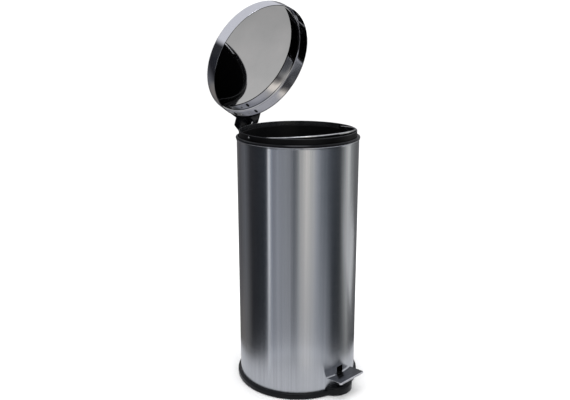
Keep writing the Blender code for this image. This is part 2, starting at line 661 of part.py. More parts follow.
def build_hinge_backing_plate():
    """A curved steel plate inside the shell that the hinge's screws pull against."""
    inner = SHELL_INSIDE - BACKING_WALL
    low, high = SADDLE_BOTTOM + BACKING_MARGIN, SADDLE_TOP - BACKING_MARGIN
    plate = turned("hinge_backing_plate", [(inner, high), (SHELL_INSIDE, high), (SHELL_INSIDE, low),
                                           (inner, low)], closed=True)
    combine(plate, box("backing_width", (-BACKING_HALF_WIDTH, ROD_BACK / 2, low - OVERCUT),
                       (BACKING_HALF_WIDTH, SHELL_RADIUS, high + OVERCUT)), "INTERSECT")
    combine(plate, rod_slot("backing_rod_slot", SHELL_RADIUS))
    for name, angle, height in hinge_screw_places():
        combine(plate, hinge_screw_hole("backing_" + name, angle, height, SHELL_RADIUS))
    return piece(plate, PRESSED_STEEL)


def build_hinge_screws():
    """Four screws from inside the shell into the saddle."""
    head_seat = SHELL_INSIDE - BACKING_WALL - GAP
    length = SHELL_OUTSIDE + HINGE_SCREW_DEPTH - head_seat
    outline = screw_outline(HINGE_SCREW_RADIUS, length, HINGE_SCREW_HEAD, HINGE_SCREW_HEAD_HEIGHT)
    for name, angle, height in hinge_screw_places():
        matrix = placed(around(angle, head_seat, height), -around(angle, 1.0, 0.0))
        piece(turned(name, outline, SMALL_FACETS, matrix=matrix), STEEL_WIRE)


def build_hinge_pin():
    """The hinge's pin, with a head on one end and a grooved tip on the other."""
    head_seat = EAR_FAR + GAP
    groove_near = EAR_FAR + GAP
    groove_far = groove_near + CLIP_THICKNESS + 2 * GAP
    tip = EAR_FAR + PIN_TIP
    groove = PIN_RADIUS - GROOVE_DEPTH
    outline = [(0.0, tip), (PIN_RADIUS - CHAMFER, tip), (PIN_RADIUS, tip - CHAMFER),
               (PIN_RADIUS, groove_far), (groove, groove_far), (groove, groove_near),
               (PIN_RADIUS, groove_near), (PIN_RADIUS, -head_seat), (PIN_HEAD_RADIUS, -head_seat),
               (PIN_HEAD_RADIUS, -head_seat - PIN_HEAD), (0.0, -head_seat - PIN_HEAD)]
    pin = turned("hinge_pin", outline, SMALL_FACETS, matrix=placed(HINGE, (1.0, 0.0, 0.0)))
    piece(pin, STEEL_WIRE)
    clip_middle = (groove_near + groove_far) / 2
    clip = ring("hinge_pin_clip", groove + GAP, CLIP_RADIUS, CLIP_THICKNESS,
                placed(HINGE + Vector((clip_middle, 0.0, 0.0)), (1.0, 0.0, 0.0)))
    piece(clip, PRESSED_STEEL)


def ring(name, inner, outer, thickness, matrix):
    """A flat ring, centred on its own frame."""
    half = thickness / 2
    outline = [(inner, half), (outer, half), (outer, -half), (inner, -half)]
    return turned(name, outline, SMALL_FACETS, closed=True, matrix=matrix)


# ---------------------------------------------------------------- lid, modelled closed

def build_lid(frame):
    """The steel pan, the black arm that carries it and the arm's two screws."""
    build_lid_shell(frame)
    build_lid_arm(frame)
    for name, side in (("lid_screw_left", -LID_SCREW_SIDE), ("lid_screw_right", LID_SCREW_SIDE)):
        angle = radial(side, LID_RADIUS)
        seat = LID_RADIUS - LID_WALL - GAP
        length = LID_RADIUS + LID_SCREW_DEPTH - seat
        outline = screw_outline(LID_SCREW_RADIUS, length, LID_SCREW_HEAD, LID_SCREW_HEAD_HEIGHT)
        matrix = placed(around(angle, seat, FIXING_Z), -around(angle, 1.0, 0.0))
        screw = piece(turned(name, outline, SMALL_FACETS, matrix=matrix), STEEL_WIRE)
        hang(frame, screw)


def build_lid_shell(frame):
    inner_edge = LID_EDGE - LID_WALL
    centre = (LID_RADIUS - LID_EDGE, LID_TOP - LID_EDGE)
    outline = [(0.0, LID_TOP)] + arc(centre, LID_EDGE, 90, 0, 4)
    outline += [(LID_RADIUS, LID_BOTTOM), (LID_RADIUS - LID_WALL, LID_BOTTOM)]
    outline += arc(centre, inner_edge, 0, 90, 4) + [(0.0, LID_TOP - LID_WALL)]
    lid = turned("lid_shell", outline)
    hang(frame, lid)
    for side in (-1, 1):
        slot = arm_tab("lid_tab_slot", side, LID_RADIUS - OVERCUT, LID_RADIUS + OVERCUT, SLOT_CLEARANCE)
        hole = lid_screw_hole("lid_screw_hole", side, LID_RADIUS + OVERCUT)
        hang(frame, slot, hole)
        combine(lid, slot)
        combine(lid, hole)
    return piece(lid, POLISHED_STEEL)


def arm_tab(name, side, near, far, clearance):
    """A tab of the arm, or with a clearance its slot, through the lid's skirt."""
    angle = radial(side * TAB_SIDE, LID_RADIUS)
    half_width = TAB_THICKNESS / 2 + clearance
    half_height = TAB_HEIGHT / 2 + clearance
    return box(name, (-half_width, near, FIXING_Z - half_height),
               (half_width, far, FIXING_Z + half_height), Matrix.Rotation(-angle, 4, "Z"))


def lid_screw_hole(name, side, far_radius):
    angle = radial(side * LID_SCREW_SIDE, LID_RADIUS)
    return cylinder(name, LID_SCREW_RADIUS + GAP, around(angle, LID_RADIUS - OVERCUT, FIXING_Z),
                    around(angle, far_radius, FIXING_Z))


def build_lid_arm(frame):
    """A wall against the skirt and a plate back to the hinge, with ears, tabs and the cam web."""
    root = HINGE.y + ARM_TAIL
    half = ARM_HALF_WIDTH
    top = LID_BOTTOM + ARM_HEIGHT
    plan = [(-half, ROD_BACK / 2), (half, ROD_BACK / 2), (half, root - ARM_BEVEL),
            (ARM_ROOT_HALF_WIDTH, root), (-ARM_ROOT_HALF_WIDTH, root), (-half, root - ARM_BEVEL)]
    arm = slab("lid_arm", plan, ARM_BOTTOM, top)
    above_plate = ARM_BOTTOM + ARM_PLATE
    wall_outside = ARM_INSIDE + ARM_WALL
    above_top = top + OVERCUT
    inside = cylinder("arm_inside", ARM_INSIDE, (0, 0, ARM_BOTTOM - OVERCUT), (0, 0, above_top), FACETS)
    clear = 2 * root
    outside = turned("arm_outside", [(wall_outside, above_top), (clear, above_top),
                                     (clear, above_plate), (wall_outside, above_plate)], closed=True)
    tools = [(cam_web(), "UNION"), (inside, "DIFFERENCE"), (outside, "DIFFERENCE")]
    for side in (-1, 1):
        tools.append((arm_ear(side, root), "UNION"))
        tools.append((arm_tab("arm_tab", side, LID_RADIUS - LID_WALL - TAB_REACH,
                              ARM_INSIDE + ARM_WALL / 2, 0.0), "UNION"))
        depth = LID_RADIUS + LID_SCREW_DEPTH + GAP
        tools.append((lid_screw_hole("arm_screw_hole", side, depth), "DIFFERENCE"))
    reach = Vector((ARM_HALF_WIDTH, 0.0, 0.0))
    tools.append((cylinder("ear_pin_hole", PIN_RADIUS + GAP, HINGE - reach, HINGE + reach), "DIFFERENCE"))
    tools.append((swept_hull("cam_slot", cam_path(), ROD_RADIUS + ROD_CLEARANCE,
                             WEB_OFFSET - WEB_THICKNESS, WEB_OFFSET + 2 * WEB_THICKNESS), "DIFFERENCE"))
    hang(frame, arm)
    for tool, operation in tools:
        hang(frame, tool)
        combine(arm, tool, operation)
    return piece(arm, GLOSS_BLACK)


def arm_ear(side, root):
    """One of the arm's two ears, which run round the hinge's pin."""
    joined = ARM_BOTTOM + ARM_PLATE / 2
    outline = [(HINGE.y - 2 * EAR_RADIUS, joined)]
    outline += arc((HINGE.y, HINGE.z), EAR_RADIUS, 180, 360, 10)
    outline += [(root - GAP, joined)]
    low, high = sorted((side * EAR_NEAR, side * EAR_FAR))
    return slab("arm_ear", outline, low, high, "YZ")


def cam_path():
    """The rod's hook as the lid sees it, from closed to open: (Y, Z) points in the closed lid's frame.

    The lid's angle is proportional to the rod's height, so the slot is where the hook lies at
    each angle, turned back by that angle about the hinge.
    """
    path = []
    for step in range(9):
        share = step / 8
        angle = math.radians(LID_OPEN) * share
        rise = ROD_LIFT - ROD_TRAVEL * (1.0 - share)
        forward = ROD_FORWARD * math.cos(angle) + rise * math.sin(angle)
        up = rise * math.cos(angle) - ROD_FORWARD * math.sin(angle)
        path.append((HINGE.y - forward, HINGE.z + up))
    return path


def swept_hull(name, path, radius, low, high):
    """The outline round circles along a path in the YZ plane, thick along X."""
    shape = bmesh.new()
    for y, z in path:
        for a, b in arc((y, z), radius, 0, 330, 11):
            for x in (low, high):
                shape.verts.new((x, a, b))
    hull = bmesh.ops.convex_hull(shape, input=shape.verts)
    loose = {v for v in hull["geom_interior"] + hull["geom_unused"] if isinstance(v, bmesh.types.BMVert)}
    bmesh.ops.delete(shape, geom=list(loose), context="VERTS")
    bmesh.ops.dissolve_limit(shape, angle_limit=0.001, verts=shape.verts, edges=shape.edges)
    mesh = bpy.data.meshes.new(name)
    shape.to_mesh(mesh)
    shape.free()
    return add_mesh(name, mesh)


def cam_web():
    """The rib under the arm's plate that the rod lifts by."""
    top = ARM_BOTTOM + ARM_PLATE / 2
    path = cam_path()
    radius = ROD_RADIUS + ROD_CLEARANCE + WEB_MARGIN
    roots = [(y, top - radius) for y, _ in (path[0], path[-1])]
    return swept_hull("cam_web", path + roots, radius, WEB_OFFSET, WEB_OFFSET + WEB_THICKNESS)


# ---------------------------------------------------------------- lift rod

def build_lift_rod(frame):
    """The wire that carries the pedal's movement up to the lid, and the clip on its foot."""
    joggle = ROD_OUTSIDE - ROD_BACK
    foot = LEVER_HALF_WIDTH + 2 * GAP + ROD_CLIP_THICKNESS + ROD_FOOT_END
    corners = [(foot, ROD_BACK, LEVER_END.z), (0.0, ROD_BACK, LEVER_END.z),
               (0.0, ROD_BACK, JOGGLE_START), (0.0, ROD_OUTSIDE, JOGGLE_START + joggle),
               (0.0, ROD_OUTSIDE, ROD_TOP), (ROD_HOOK, ROD_OUTSIDE, ROD_TOP)]
    rod = piece(wire("lift_rod", rounded(corners, ROD_BEND), ROD_RADIUS), STEEL_WIRE)
    clip_middle = LEVER_HALF_WIDTH + 2 * GAP + ROD_CLIP_THICKNESS / 2
    clip = ring("rod_clip", ROD_RADIUS + GAP, ROD_RADIUS + ROD_CLIP_MARGIN, ROD_CLIP_THICKNESS,
                placed((clip_middle, ROD_BACK, LEVER_END.z), (1.0, 0.0, 0.0)))
    piece(clip, PRESSED_STEEL)
    hang(frame, rod, clip)


def build_rod_guide(name, height):
    """A block on the shell's inside that the rod slides through."""
    block = box(name, (-GUIDE_HALF_WIDTH, ROD_BACK - ROD_RADIUS - GUIDE_FRONT, height),
                (GUIDE_HALF_WIDTH, SHELL_RADIUS, height + GUIDE_HEIGHT))
    below, above = height - OVERCUT, height + GUIDE_HEIGHT + OVERCUT
    combine(block, cylinder(name + "_fit", SHELL_INSIDE, (0, 0, below), (0, 0, above), FACETS),
            "INTERSECT")
    combine(block, cylinder(name + "_bore", ROD_RADIUS + ROD_CLEARANCE, (0, ROD_BACK, below),
                            (0, ROD_BACK, above)))
    return piece(block, MATTE_BLACK)


# ---------------------------------------------------------------- pedal

def pedal_height(front):
    """The height of the pedal plate's top at a distance in front of the bin's axis."""
    return PEDAL_BACK_HEIGHT + (front - PEDAL_BACK) * math.tan(math.radians(PEDAL_SLOPE))


def build_pedal_lever(frame):
    """A channel, open below, from the pedal plate over its pin to the lift rod."""
    lever = slab("pedal_lever", lever_outline(0.0), -LEVER_HALF_WIDTH, LEVER_HALF_WIDTH, "YZ")
    inner = LEVER_HALF_WIDTH - LEVER_WALL
    hollow = slab("lever_hollow", lever_outline(LEVER_WALL, open_below=True), -inner, inner, "YZ")
    clevis = box("lever_clevis", (-inner, LEVER_WEB_END, LEVER_END.z - 2 * OVERCUT),
                 (inner, ROD_BACK + 2 * OVERCUT, LEVER_END.z + 2 * OVERCUT))
    reach = Vector((LEVER_HALF_WIDTH + OVERCUT, 0.0, 0.0))
    bore = cylinder("lever_bore", LEVER_PIN_RADIUS + GAP, LEVER_PIVOT - reach, LEVER_PIVOT + reach)
    tools = [hollow, clevis, bore, rod_eye()]
    hang(frame, lever, *tools)
    for tool in tools:
        combine(lever, tool)
    return piece(lever, PRESSED_STEEL)


def lever_outline(wall, open_below=False):
    """The channel's side view with the pedal pressed, shrunk at its top by the wall."""
    nose = PEDAL_FRONT - PEDAL_HEM_DEPTH - LEVER_NOSE_GAP
    rear_top = LEVER_END.z + LEVER_END_RADIUS + LEVER_END_RISE
    top = [(-nose, pedal_height(nose) - PEDAL_WALL - GAP), (-PEDAL_BACK, PEDAL_UNDERSIDE - GAP),
           (LEVER_PIVOT.y, LEVER_PIVOT.z + LEVER_PIVOT_RISE), (LEVER_WEB_END, rear_top)]
    if open_below:
        before, behind = -nose - OVERCUT, ROD_BACK + 2 * OVERCUT
        ends = [(behind, rear_top - wall), (behind, 0.0), (before, 0.0), (before, top[0][1] - wall)]
        return [(y, z - wall) for y, z in top] + ends
    rear = arc((LEVER_END.y, LEVER_END.z), LEVER_END_RADIUS, 60, -90, 8)
    boss = arc((LEVER_PIVOT.y, LEVER_PIVOT.z), LEVER_PIN_RADIUS + LEVER_BOSS_WALL, -40, -140, 6)
    front = [(-PEDAL_BACK + LEVER_STRAIGHT, LEVER_FRONT_BOTTOM),
             (-nose, pedal_height(nose) - LEVER_NOSE_DEPTH)]
    return top + rear + boss + front


def rod_eye():
    """The hole for the rod's foot, long enough for the lever's arc."""
    drift = LEVER_ARM * (math.cos(LEVER_REST) - math.cos(LEVER_SWING - LEVER_REST))
    radius = ROD_RADIUS + ROD_CLEARANCE
    path = [(LEVER_END.y - GAP, LEVER_END.z), (LEVER_END.y + drift + GAP, LEVER_END.z)]
    return swept_hull("rod_eye", path, radius, 0.0, LEVER_HALF_WIDTH + OVERCUT)


def build_pedal_plate(frame):
    """A sloping steel plate with a hem along its front and rounded front corners."""
    hem_back = PEDAL_FRONT - PEDAL_HEM_DEPTH
    nose = PEDAL_HEM / 2
    nose_centre = (-PEDAL_FRONT + nose, pedal_height(PEDAL_FRONT - nose) - nose)
    back = PEDAL_BACK - PEDAL_HALF_WIDTH / 2
    outline = [(-back, pedal_height(back))] + arc(nose_centre, nose, 90, 270, 6)
    outline += [(-hem_back, nose_centre[1] - nose), (-hem_back, pedal_height(hem_back) - PEDAL_WALL),
                (-back, pedal_height(back) - PEDAL_WALL)]
    side, corner = PEDAL_HALF_WIDTH, PEDAL_CORNER
    plate = slab("pedal_plate", outline, -side - corner, side + corner, "YZ")
    plan = [(side, -back / 2), (-side, -back / 2)]
    plan += arc((-side + corner, -PEDAL_FRONT + corner), corner, 180, 270, 5)
    plan += arc((side - corner, -PEDAL_FRONT + corner), corner, 270, 360, 5)
    above = 2 * PEDAL_BACK_HEIGHT
    shape = slab("pedal_plan", plan, 0.0, above)
    shell_side = cylinder("pedal_back", PEDAL_BACK, (0, 0, 0.0), (0, 0, above), FACETS)
    hang(frame, plate, shape, shell_side)
    combine(plate, shape, "INTERSECT")
    combine(plate, shell_side)
    return piece(plate, PRESSED_STEEL)


def build_lever_pivot_pin():
    """The pin that the lever rocks on, pushed through the base's ears from one side."""
    far = LEVER_HALF_WIDTH + 2 * GAP + LEVER_EAR_THICKNESS
    head_seat = far + GAP
    tip = far + 2 * CHAMFER
    outline = [(0.0, tip), (LEVER_PIN_RADIUS - CHAMFER, tip),
               (LEVER_PIN_RADIUS, tip - CHAMFER), (LEVER_PIN_RADIUS, -head_seat),
               (LEVER_PIN_HEAD, -head_seat), (LEVER_PIN_HEAD, -head_seat - LEVER_PIN_HEAD_THICKNESS),
               (0.0, -head_seat - LEVER_PIN_HEAD_THICKNESS)]
    pin = turned("lever_pivot_pin", outline, SMALL_FACETS, matrix=placed(LEVER_PIVOT, (1.0, 0.0, 0.0)))
    return piece(pin, STEEL_WIRE)


# ---------------------------------------------------------------- the bin

def build_bin():
    build_body_shell()
    build_base_moulding()
    build_top_collar()
    build_inner_bucket()
    build_bucket_handle()
    build_hinge_base()
    build_hinge_backing_plate()
    build_hinge_screws()
    build_hinge_pin()
    build_lid(joint_frame("lid_frame", HINGE, (-math.radians(LID_OPEN), 0.0, 0.0)))
    build_lift_rod(joint_frame("rod_frame", (0.0, ROD_BACK, LEVER_END.z)))
    build_rod_guide("rod_guide_upper", SHELL_TOP - UPPER_GUIDE_DROP)
    build_rod_guide("rod_guide_lower", SHELL_BOTTOM + LOWER_GUIDE_RISE)
    lever_frame = joint_frame("lever_frame", LEVER_PIVOT)
    build_pedal_lever(lever_frame)
    build_pedal_plate(lever_frame)
    build_lever_pivot_pin()


build_bin()
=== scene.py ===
import json
import math

import bmesh
import bpy
from mathutils import Matrix, Vector


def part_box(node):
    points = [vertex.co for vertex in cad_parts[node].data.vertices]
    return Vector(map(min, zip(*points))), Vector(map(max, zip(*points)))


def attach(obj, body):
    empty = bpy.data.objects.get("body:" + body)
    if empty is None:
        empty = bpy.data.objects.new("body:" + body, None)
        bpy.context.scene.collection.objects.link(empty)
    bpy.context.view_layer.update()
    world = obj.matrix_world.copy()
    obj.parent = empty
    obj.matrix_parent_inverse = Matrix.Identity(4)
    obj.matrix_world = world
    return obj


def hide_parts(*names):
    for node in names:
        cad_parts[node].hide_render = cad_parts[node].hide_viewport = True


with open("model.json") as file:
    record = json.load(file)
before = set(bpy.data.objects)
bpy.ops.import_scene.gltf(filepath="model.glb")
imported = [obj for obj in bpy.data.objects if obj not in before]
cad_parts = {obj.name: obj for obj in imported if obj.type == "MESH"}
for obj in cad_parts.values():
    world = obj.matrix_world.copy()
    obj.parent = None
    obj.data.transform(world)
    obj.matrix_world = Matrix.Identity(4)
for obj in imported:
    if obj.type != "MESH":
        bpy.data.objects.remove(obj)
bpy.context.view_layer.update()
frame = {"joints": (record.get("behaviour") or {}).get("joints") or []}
joints = {joint["name"]: joint for joint in frame["joints"]}


# ---- Body shell
# A rolled tube of 0.6 mm ferritic stainless sheet, butt welded down the back and brushed round and
# round on a belt. Its top edge is rolled to a small bead, and it is pushed onto the base's upstand.

def sheen_colour(hex_colour, share=1.0):
    """The linear colour of an sRGB hex value, scaled by a share."""
    channels = [int(hex_colour[i:i + 2], 16) / 255 for i in (0, 2, 4)]
    linear = [c / 12.92 if c <= 0.04045 else ((c + 0.055) / 1.055) ** 2.4 for c in channels]
    return (*[share * c for c in linear], 1.0)


def add_node(tree, kind, inputs=None, **settings):
    """Add a node. Each input is a value, or the output socket that is linked to it."""
    made = tree.nodes.new(kind)
    for name, value in settings.items():
        setattr(made, name, value)
    for name, value in (inputs or {}).items():
        if isinstance(value, bpy.types.NodeSocket):
            tree.links.new(value, made.inputs[name])
        else:
            made.inputs[name].default_value = value
    return made


def new_finish(name, **values):
    """A material with its shader's plain values set, as (material, node tree, shader)."""
    material = bpy.data.materials.new(name)
    material.use_nodes = True
    shader = material.node_tree.nodes["Principled BSDF"]
    for socket, value in values.items():
        shader.inputs[socket.replace("_", " ")].default_value = value
    return material, material.node_tree, shader


def stretched_noise(tree, per_metre, detail=2.0):
    """Noise in the piece's own metres, with a number of grains per metre along X, Y and Z."""
    place = add_node(tree, "ShaderNodeTexCoord")
    grains = add_node(tree, "ShaderNodeMapping", {"Vector": place.outputs["Object"], "Scale": per_metre})
    return add_node(tree, "ShaderNodeTexNoise",
                    {"Vector": grains.outputs["Vector"], "Scale": 1.0, "Detail": detail}).outputs["Fac"]


def shades(tree, factor, *stops):
    """A colour ramp of (position, hex colour) stops over a factor."""
    ramp = add_node(tree, "ShaderNodeValToRGB", {"Fac": factor})
    elements = ramp.color_ramp.elements
    while len(elements) < len(stops):
        elements.new(0.5)
    for element, (position, hex_colour) in zip(elements, stops):
        element.position = position
        element.color = sheen_colour(hex_colour)
    return ramp.outputs["Color"]


def spread(tree, factor, low, high):
    """A factor of about 0.3 to 0.7 spread over the range from low to high."""
    return add_node(tree, "ShaderNodeMapRange", {"Value": factor, "From Min": 0.3, "From Max": 0.7,
                                                 "To Min": low, "To Max": high}).outputs["Result"]


def relief(tree, shader, height, depth, strength=1.0):
    """Feed a height to the shader's normal, as a relief of a depth in metres."""
    bump = add_node(tree, "ShaderNodeBump", {"Height": height, "Distance": depth, "Strength": strength})
    tree.links.new(bump.outputs["Normal"], shader.inputs["Normal"])


def softened(corners, steps=5):
    """A closed outline of (a, b, radius) corners, each turned in an arc of its radius."""
    outline = []
    for i, (a, b, radius) in enumerate(corners):
        corner = Vector((a, b))
        if radius <= 0:
            outline.append(corner)
            continue
        back = (Vector(corners[i - 1][:2]) - corner).normalized()
        ahead = (Vector(corners[(i + 1) % len(corners)][:2]) - corner).normalized()
        half = back.angle(ahead) / 2
        centre = corner + (back + ahead).normalized() * (radius / math.sin(half))
        start = corner + back * (radius / math.tan(half)) - centre
        end = corner + ahead * (radius / math.tan(half)) - centre
        turn = start.angle_signed(end)
        for step in range(steps + 1):
            outline.append(centre + Matrix.Rotation(-turn * step / steps, 2) @ start)
    return [(point[0], point[1]) for point in outline]


def new_piece(name, shape):
    """A mesh object of a bmesh, with its faces turned outwards."""
    bmesh.ops.recalc_face_normals(shape, faces=shape.faces)
    mesh = bpy.data.meshes.new(name)
    shape.to_mesh(mesh)
    shape.free()
    made = bpy.data.objects.new(name, mesh)
    bpy.context.scene.collection.objects.link(made)
    return made


def spun(name, outline, steps=192, place=Matrix.Identity(4)):
    """Spin a closed outline of (radius, height) points round +Z."""
    shape = bmesh.new()
    rings = []
    for radius, height in outline:
        if radius < 0.00001:
            rings.append([shape.verts.new(place @ Vector((0.0, 0.0, height)))] * steps)
            continue
        angles = [math.tau * i / steps for i in range(steps)]
        rings.append([shape.verts.new(place @ Vector((radius * math.cos(a), radius * math.sin(a), height)))
                      for a in angles])
    for ring, following in zip(rings, rings[1:] + rings[:1]):
        for i in range(steps):
            j = (i + 1) % steps
            corners = list(dict.fromkeys((ring[i], following[i], following[j], ring[j])))
            if len(corners) > 2:
                shape.faces.new(corners)
    return new_piece(name, shape)


def block(name, low, high, place=Matrix.Identity(4)):
    """A box between two corners, for a piece or a cutter."""
    low, high = Vector(low), Vector(high)
    shape = bmesh.new()
    size = Matrix.Diagonal((*(high - low), 1.0))
    bmesh.ops.create_cube(shape, size=1.0, matrix=place @ Matrix.Translation((low + high) / 2) @ size)
    return new_piece(name, shape)


def settled(piece):
    """Apply the piece's modifiers."""
    evaluated = piece.evaluated_get(bpy.context.evaluated_depsgraph_get())
    mesh = bpy.data.meshes.new_from_object(evaluated)
    piece.modifiers.clear()
    piece.data = mesh
    return piece


def cut(piece, *tools, operation="DIFFERENCE"):
    """Cut the piece with each tool, or join the tools to it."""
    for tool in tools:
        change = piece.modifiers.new("cut", "BOOLEAN")
        change.operation = operation
        change.object = tool
    bpy.context.view_layer.update()
    settled(piece)
    for tool in tools:
        bpy.data.objects.remove(tool, do_unlink=True)
    return piece


def finished(piece, finish, body, slot, *nodes, sharp=32):
    """Give a piece its finish and shading, and let it ride on a body in the place of CAD nodes."""
    piece.data.materials.clear()
    piece.data.materials.append(finish)
    piece.data.shade_smooth()
    piece.data.set_sharp_from_angle(angle=math.radians(sharp))
    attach(piece, body)
    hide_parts(*nodes)
    return piece


shell_low, shell_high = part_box("body_shell")
shell_radius = shell_high.x
sheet = 0.0006
shell_inside = shell_radius - sheet
bead_top, bead_height, bead_reach, bead_steps = shell_high.z - 0.0002, 0.0046, 0.0012, 10
wall_heights = (0.56, 0.44, 0.32, 0.2, 0.1, 0.05, 0.03)

outline = [(shell_inside, shell_high.z), (shell_radius - 0.0001, shell_high.z)]
outline += [(shell_radius + bead_reach * math.sin(math.pi * i / bead_steps),
             bead_top - bead_height * i / bead_steps) for i in range(bead_steps + 1)]
outline += [(shell_radius, z) for z in wall_heights]
outline += [(shell_radius, shell_low.z), (shell_inside, shell_low.z)]
outline += [(shell_inside, z) for z in reversed(wall_heights)]
body_shell = spun("body_shell_tube", outline, 256)


def rod_way(near, far):
    """The cutter of the lift rod's upright slot, from near to far behind the bin's axis."""
    return block("rod_way", (-0.0040, near, 0.5350), (0.0040, far, 0.5760))


lever_way_half, lever_way_low, lever_way_high = 0.0106, 0.0370, 0.0653
lever_way = block("lever_way", (-lever_way_half, -0.16, lever_way_low),
                  (lever_way_half, -0.13, lever_way_high))
cut(body_shell, lever_way, rod_way(0.1445, 0.16))

# Brushed stainless: the belt's scratches run round the tube, so reflections smear up and down and
# stay crisp from side to side. Scratches are 0.05 mm apart and are drawn 1.2 mm apart to show. Faint
# upright streaks 3 mm wide are left from the coil's rolling.
brushed_steel, tree, shader = new_finish("brushed_stainless_sheet", Metallic=1.0, Anisotropic=0.93,
                                         Anisotropic_Rotation=0.25)
tangent = add_node(tree, "ShaderNodeTangent", direction_type="RADIAL", axis="Z")
tree.links.new(tangent.outputs["Tangent"], shader.inputs["Tangent"])
scratches = stretched_noise(tree, (18.0, 18.0, 850.0), 3.0)
streaks = stretched_noise(tree, (330.0, 330.0, 0.9), 3.0)
streak_colour = shades(tree, streaks, (0.3, "BEC1C6"), (0.7, "CED0D4"))
scratch_colour = shades(tree, scratches, (0.3, "C2C5C9"), (0.7, "D0D2D5"))
colour = add_node(tree, "ShaderNodeMix", {"Factor": 0.3, "A": streak_colour, "B": scratch_colour},
                  data_type="RGBA")
tree.links.new(colour.outputs["Result"], shader.inputs["Base Color"])
tree.links.new(spread(tree, scratches, 0.19, 0.23), shader.inputs["Roughness"])
finished(body_shell, brushed_steel, "can", "brushed_steel", "body_shell")


# ---- Base moulding
# One black polypropylene moulding: a floor with an upstand inside the shell, a rounded ring under its
# edge, a lobe in front that stops the bin tipping, and two ears that hold the pedal lever's pin.

def drawn(name, outline, low, high, plane="XY"):
    """A flat outline, thick from low to high along the axis that its plane leaves out."""
    shape = bmesh.new()
    ends = []
    for level in (low, high):
        places = [(a, b, level) if plane == "XY" else (level, a, b) for a, b in outline]
        ends.append([shape.verts.new(place) for place in places])
    shape.faces.new(ends[0])
    shape.faces.new(ends[1])
    for i in range(len(outline)):
        j = (i + 1) % len(outline)
        shape.faces.new((ends[0][i], ends[0][j], ends[1][j], ends[1][i]))
    return new_piece(name, shape)


def along(start, end, radius, steps=48, name="bore"):
    """A cylinder from start to end."""
    start, end = Vector(start), Vector(end)
    shape = bmesh.new()
    turn = (end - start).to_track_quat("Z", "Y").to_matrix().to_4x4()
    bmesh.ops.create_cone(shape, cap_ends=True, segments=steps, radius1=radius, radius2=radius,
                          depth=(end - start).length, matrix=Matrix.Translation((start + end) / 2) @ turn)
    return new_piece(name, shape)


def cross_bore(centre, reach, radius):
    """The cutter of a bore from side to side through a centre."""
    return along(centre - Vector((reach, 0, 0)), centre + Vector((reach, 0, 0)), radius, 32)


def arc(centre, radius, start, end, steps=16):
    """Points of an arc, from one angle to another in degrees."""
    angles = [math.radians(start + (end - start) * i / steps) for i in range(steps + 1)]
    return [(centre[0] + radius * math.cos(a), centre[1] + radius * math.sin(a)) for a in angles]


def eased(piece, width, segments=2, angle=35.0):
    """Round the piece's sharp edges by a width."""
    ease = piece.modifiers.new("ease", "BEVEL")
    ease.width = width
    ease.segments = segments
    ease.limit_method = "ANGLE"
    ease.angle_limit = math.radians(angle)
    ease.use_clamp_overlap = True
    ease.harden_normals = False
    bpy.context.view_layer.update()
    return settled(piece)


base_low, base_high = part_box("base_moulding")
ring_radius = base_high.x
floor_low, floor_high, ledge = 0.0010, 0.0030, 0.0137
upstand, upstand_top = 0.1466, 0.0300
upstand_inside = upstand - 0.0022
base = spun("base_ring", softened([
    (0.0, floor_high, 0), (upstand_inside, floor_high, 0.0015), (upstand_inside, upstand_top, 0.0008),
    (upstand, upstand_top, 0.0008), (upstand, ledge, 0), (ring_radius, ledge, 0.0030),
    (ring_radius, 0.0, 0.0020), (ring_radius - 0.0060, 0.0, 0.0008),
    (ring_radius - 0.0065, floor_low, 0.0004), (0.0, floor_low, 0)]), 192)
foot_reach = -base_low.y
foot_half_width = 0.0420
foot_top = 0.0220
ring_y = math.sqrt(ring_radius ** 2 - foot_half_width ** 2)
bulge = foot_reach - ring_y
lobe = (foot_half_width ** 2 + bulge ** 2) / (2 * bulge)
foot_outline = [(0.0, foot_top, 0), (lobe, foot_top, 0.0062), (lobe, 0.0, 0.0012), (0.0, 0.0, 0)]
foot = spun("front_foot", softened(foot_outline, 8), 160, Matrix.Translation((0.0, lobe - foot_reach, 0.0)))
cut(foot, along((0, 0, -0.01), (0, 0, 0.04), shell_radius + 0.0003, 256))
cut(base, foot, operation="UNION")
pivot = Vector(joints["pedal_pivot"]["pos_m"])
ear_near, ear_far, ear_foot, ear_radius = 0.0096, 0.0142, 0.0120, 0.0080
rivet_hole = 0.0033
profile = [(pivot.y - ear_foot, 0.0020), (pivot.y + ear_foot, 0.0020)]
profile += arc((pivot.y, pivot.z), ear_radius, 0, 180, 20)
ears = [drawn("lever_ear", profile, low, high, "YZ")
        for low, high in ((-ear_far, -ear_near), (ear_near, ear_far))]
cut(base, *ears, operation="UNION")
cut(base, cross_bore(pivot, 0.03, rivet_hole),
    block("clevis_notch", (-0.016, 0.1285, ledge + 0.001), (0.016, shell_radius, 0.04)))

# Moulded polypropylene: deep black with a soft shine from a fine spark-eroded mould, whose grain of
# 0.1 mm is drawn as 0.7 mm, and hand-worn patches a few centimetres wide.
gloss_black, tree, shader = new_finish("moulded_black_polypropylene", Metallic=0.0, IOR=1.49,
                                       Specular_IOR_Level=0.20)
patches = stretched_noise(tree, (30.0, 30.0, 30.0), 3.0)
tree.links.new(shades(tree, patches, (0.3, "060709"), (0.7, "0B0C0F")), shader.inputs["Base Color"])
tree.links.new(spread(tree, patches, 0.12, 0.22), shader.inputs["Roughness"])
relief(tree, shader, stretched_noise(tree, (1400.0, 1400.0, 1400.0), 1.0), 0.00001)
finished(base, gloss_black, "can", "gloss_black_plastic", "base_moulding")


# ---- Top collar
# A black moulded ring that snaps over the shell's top edge: a flange over the steel, a shiny slope up
# to the bucket's seat, and a skirt inside the shell that holds it by friction.

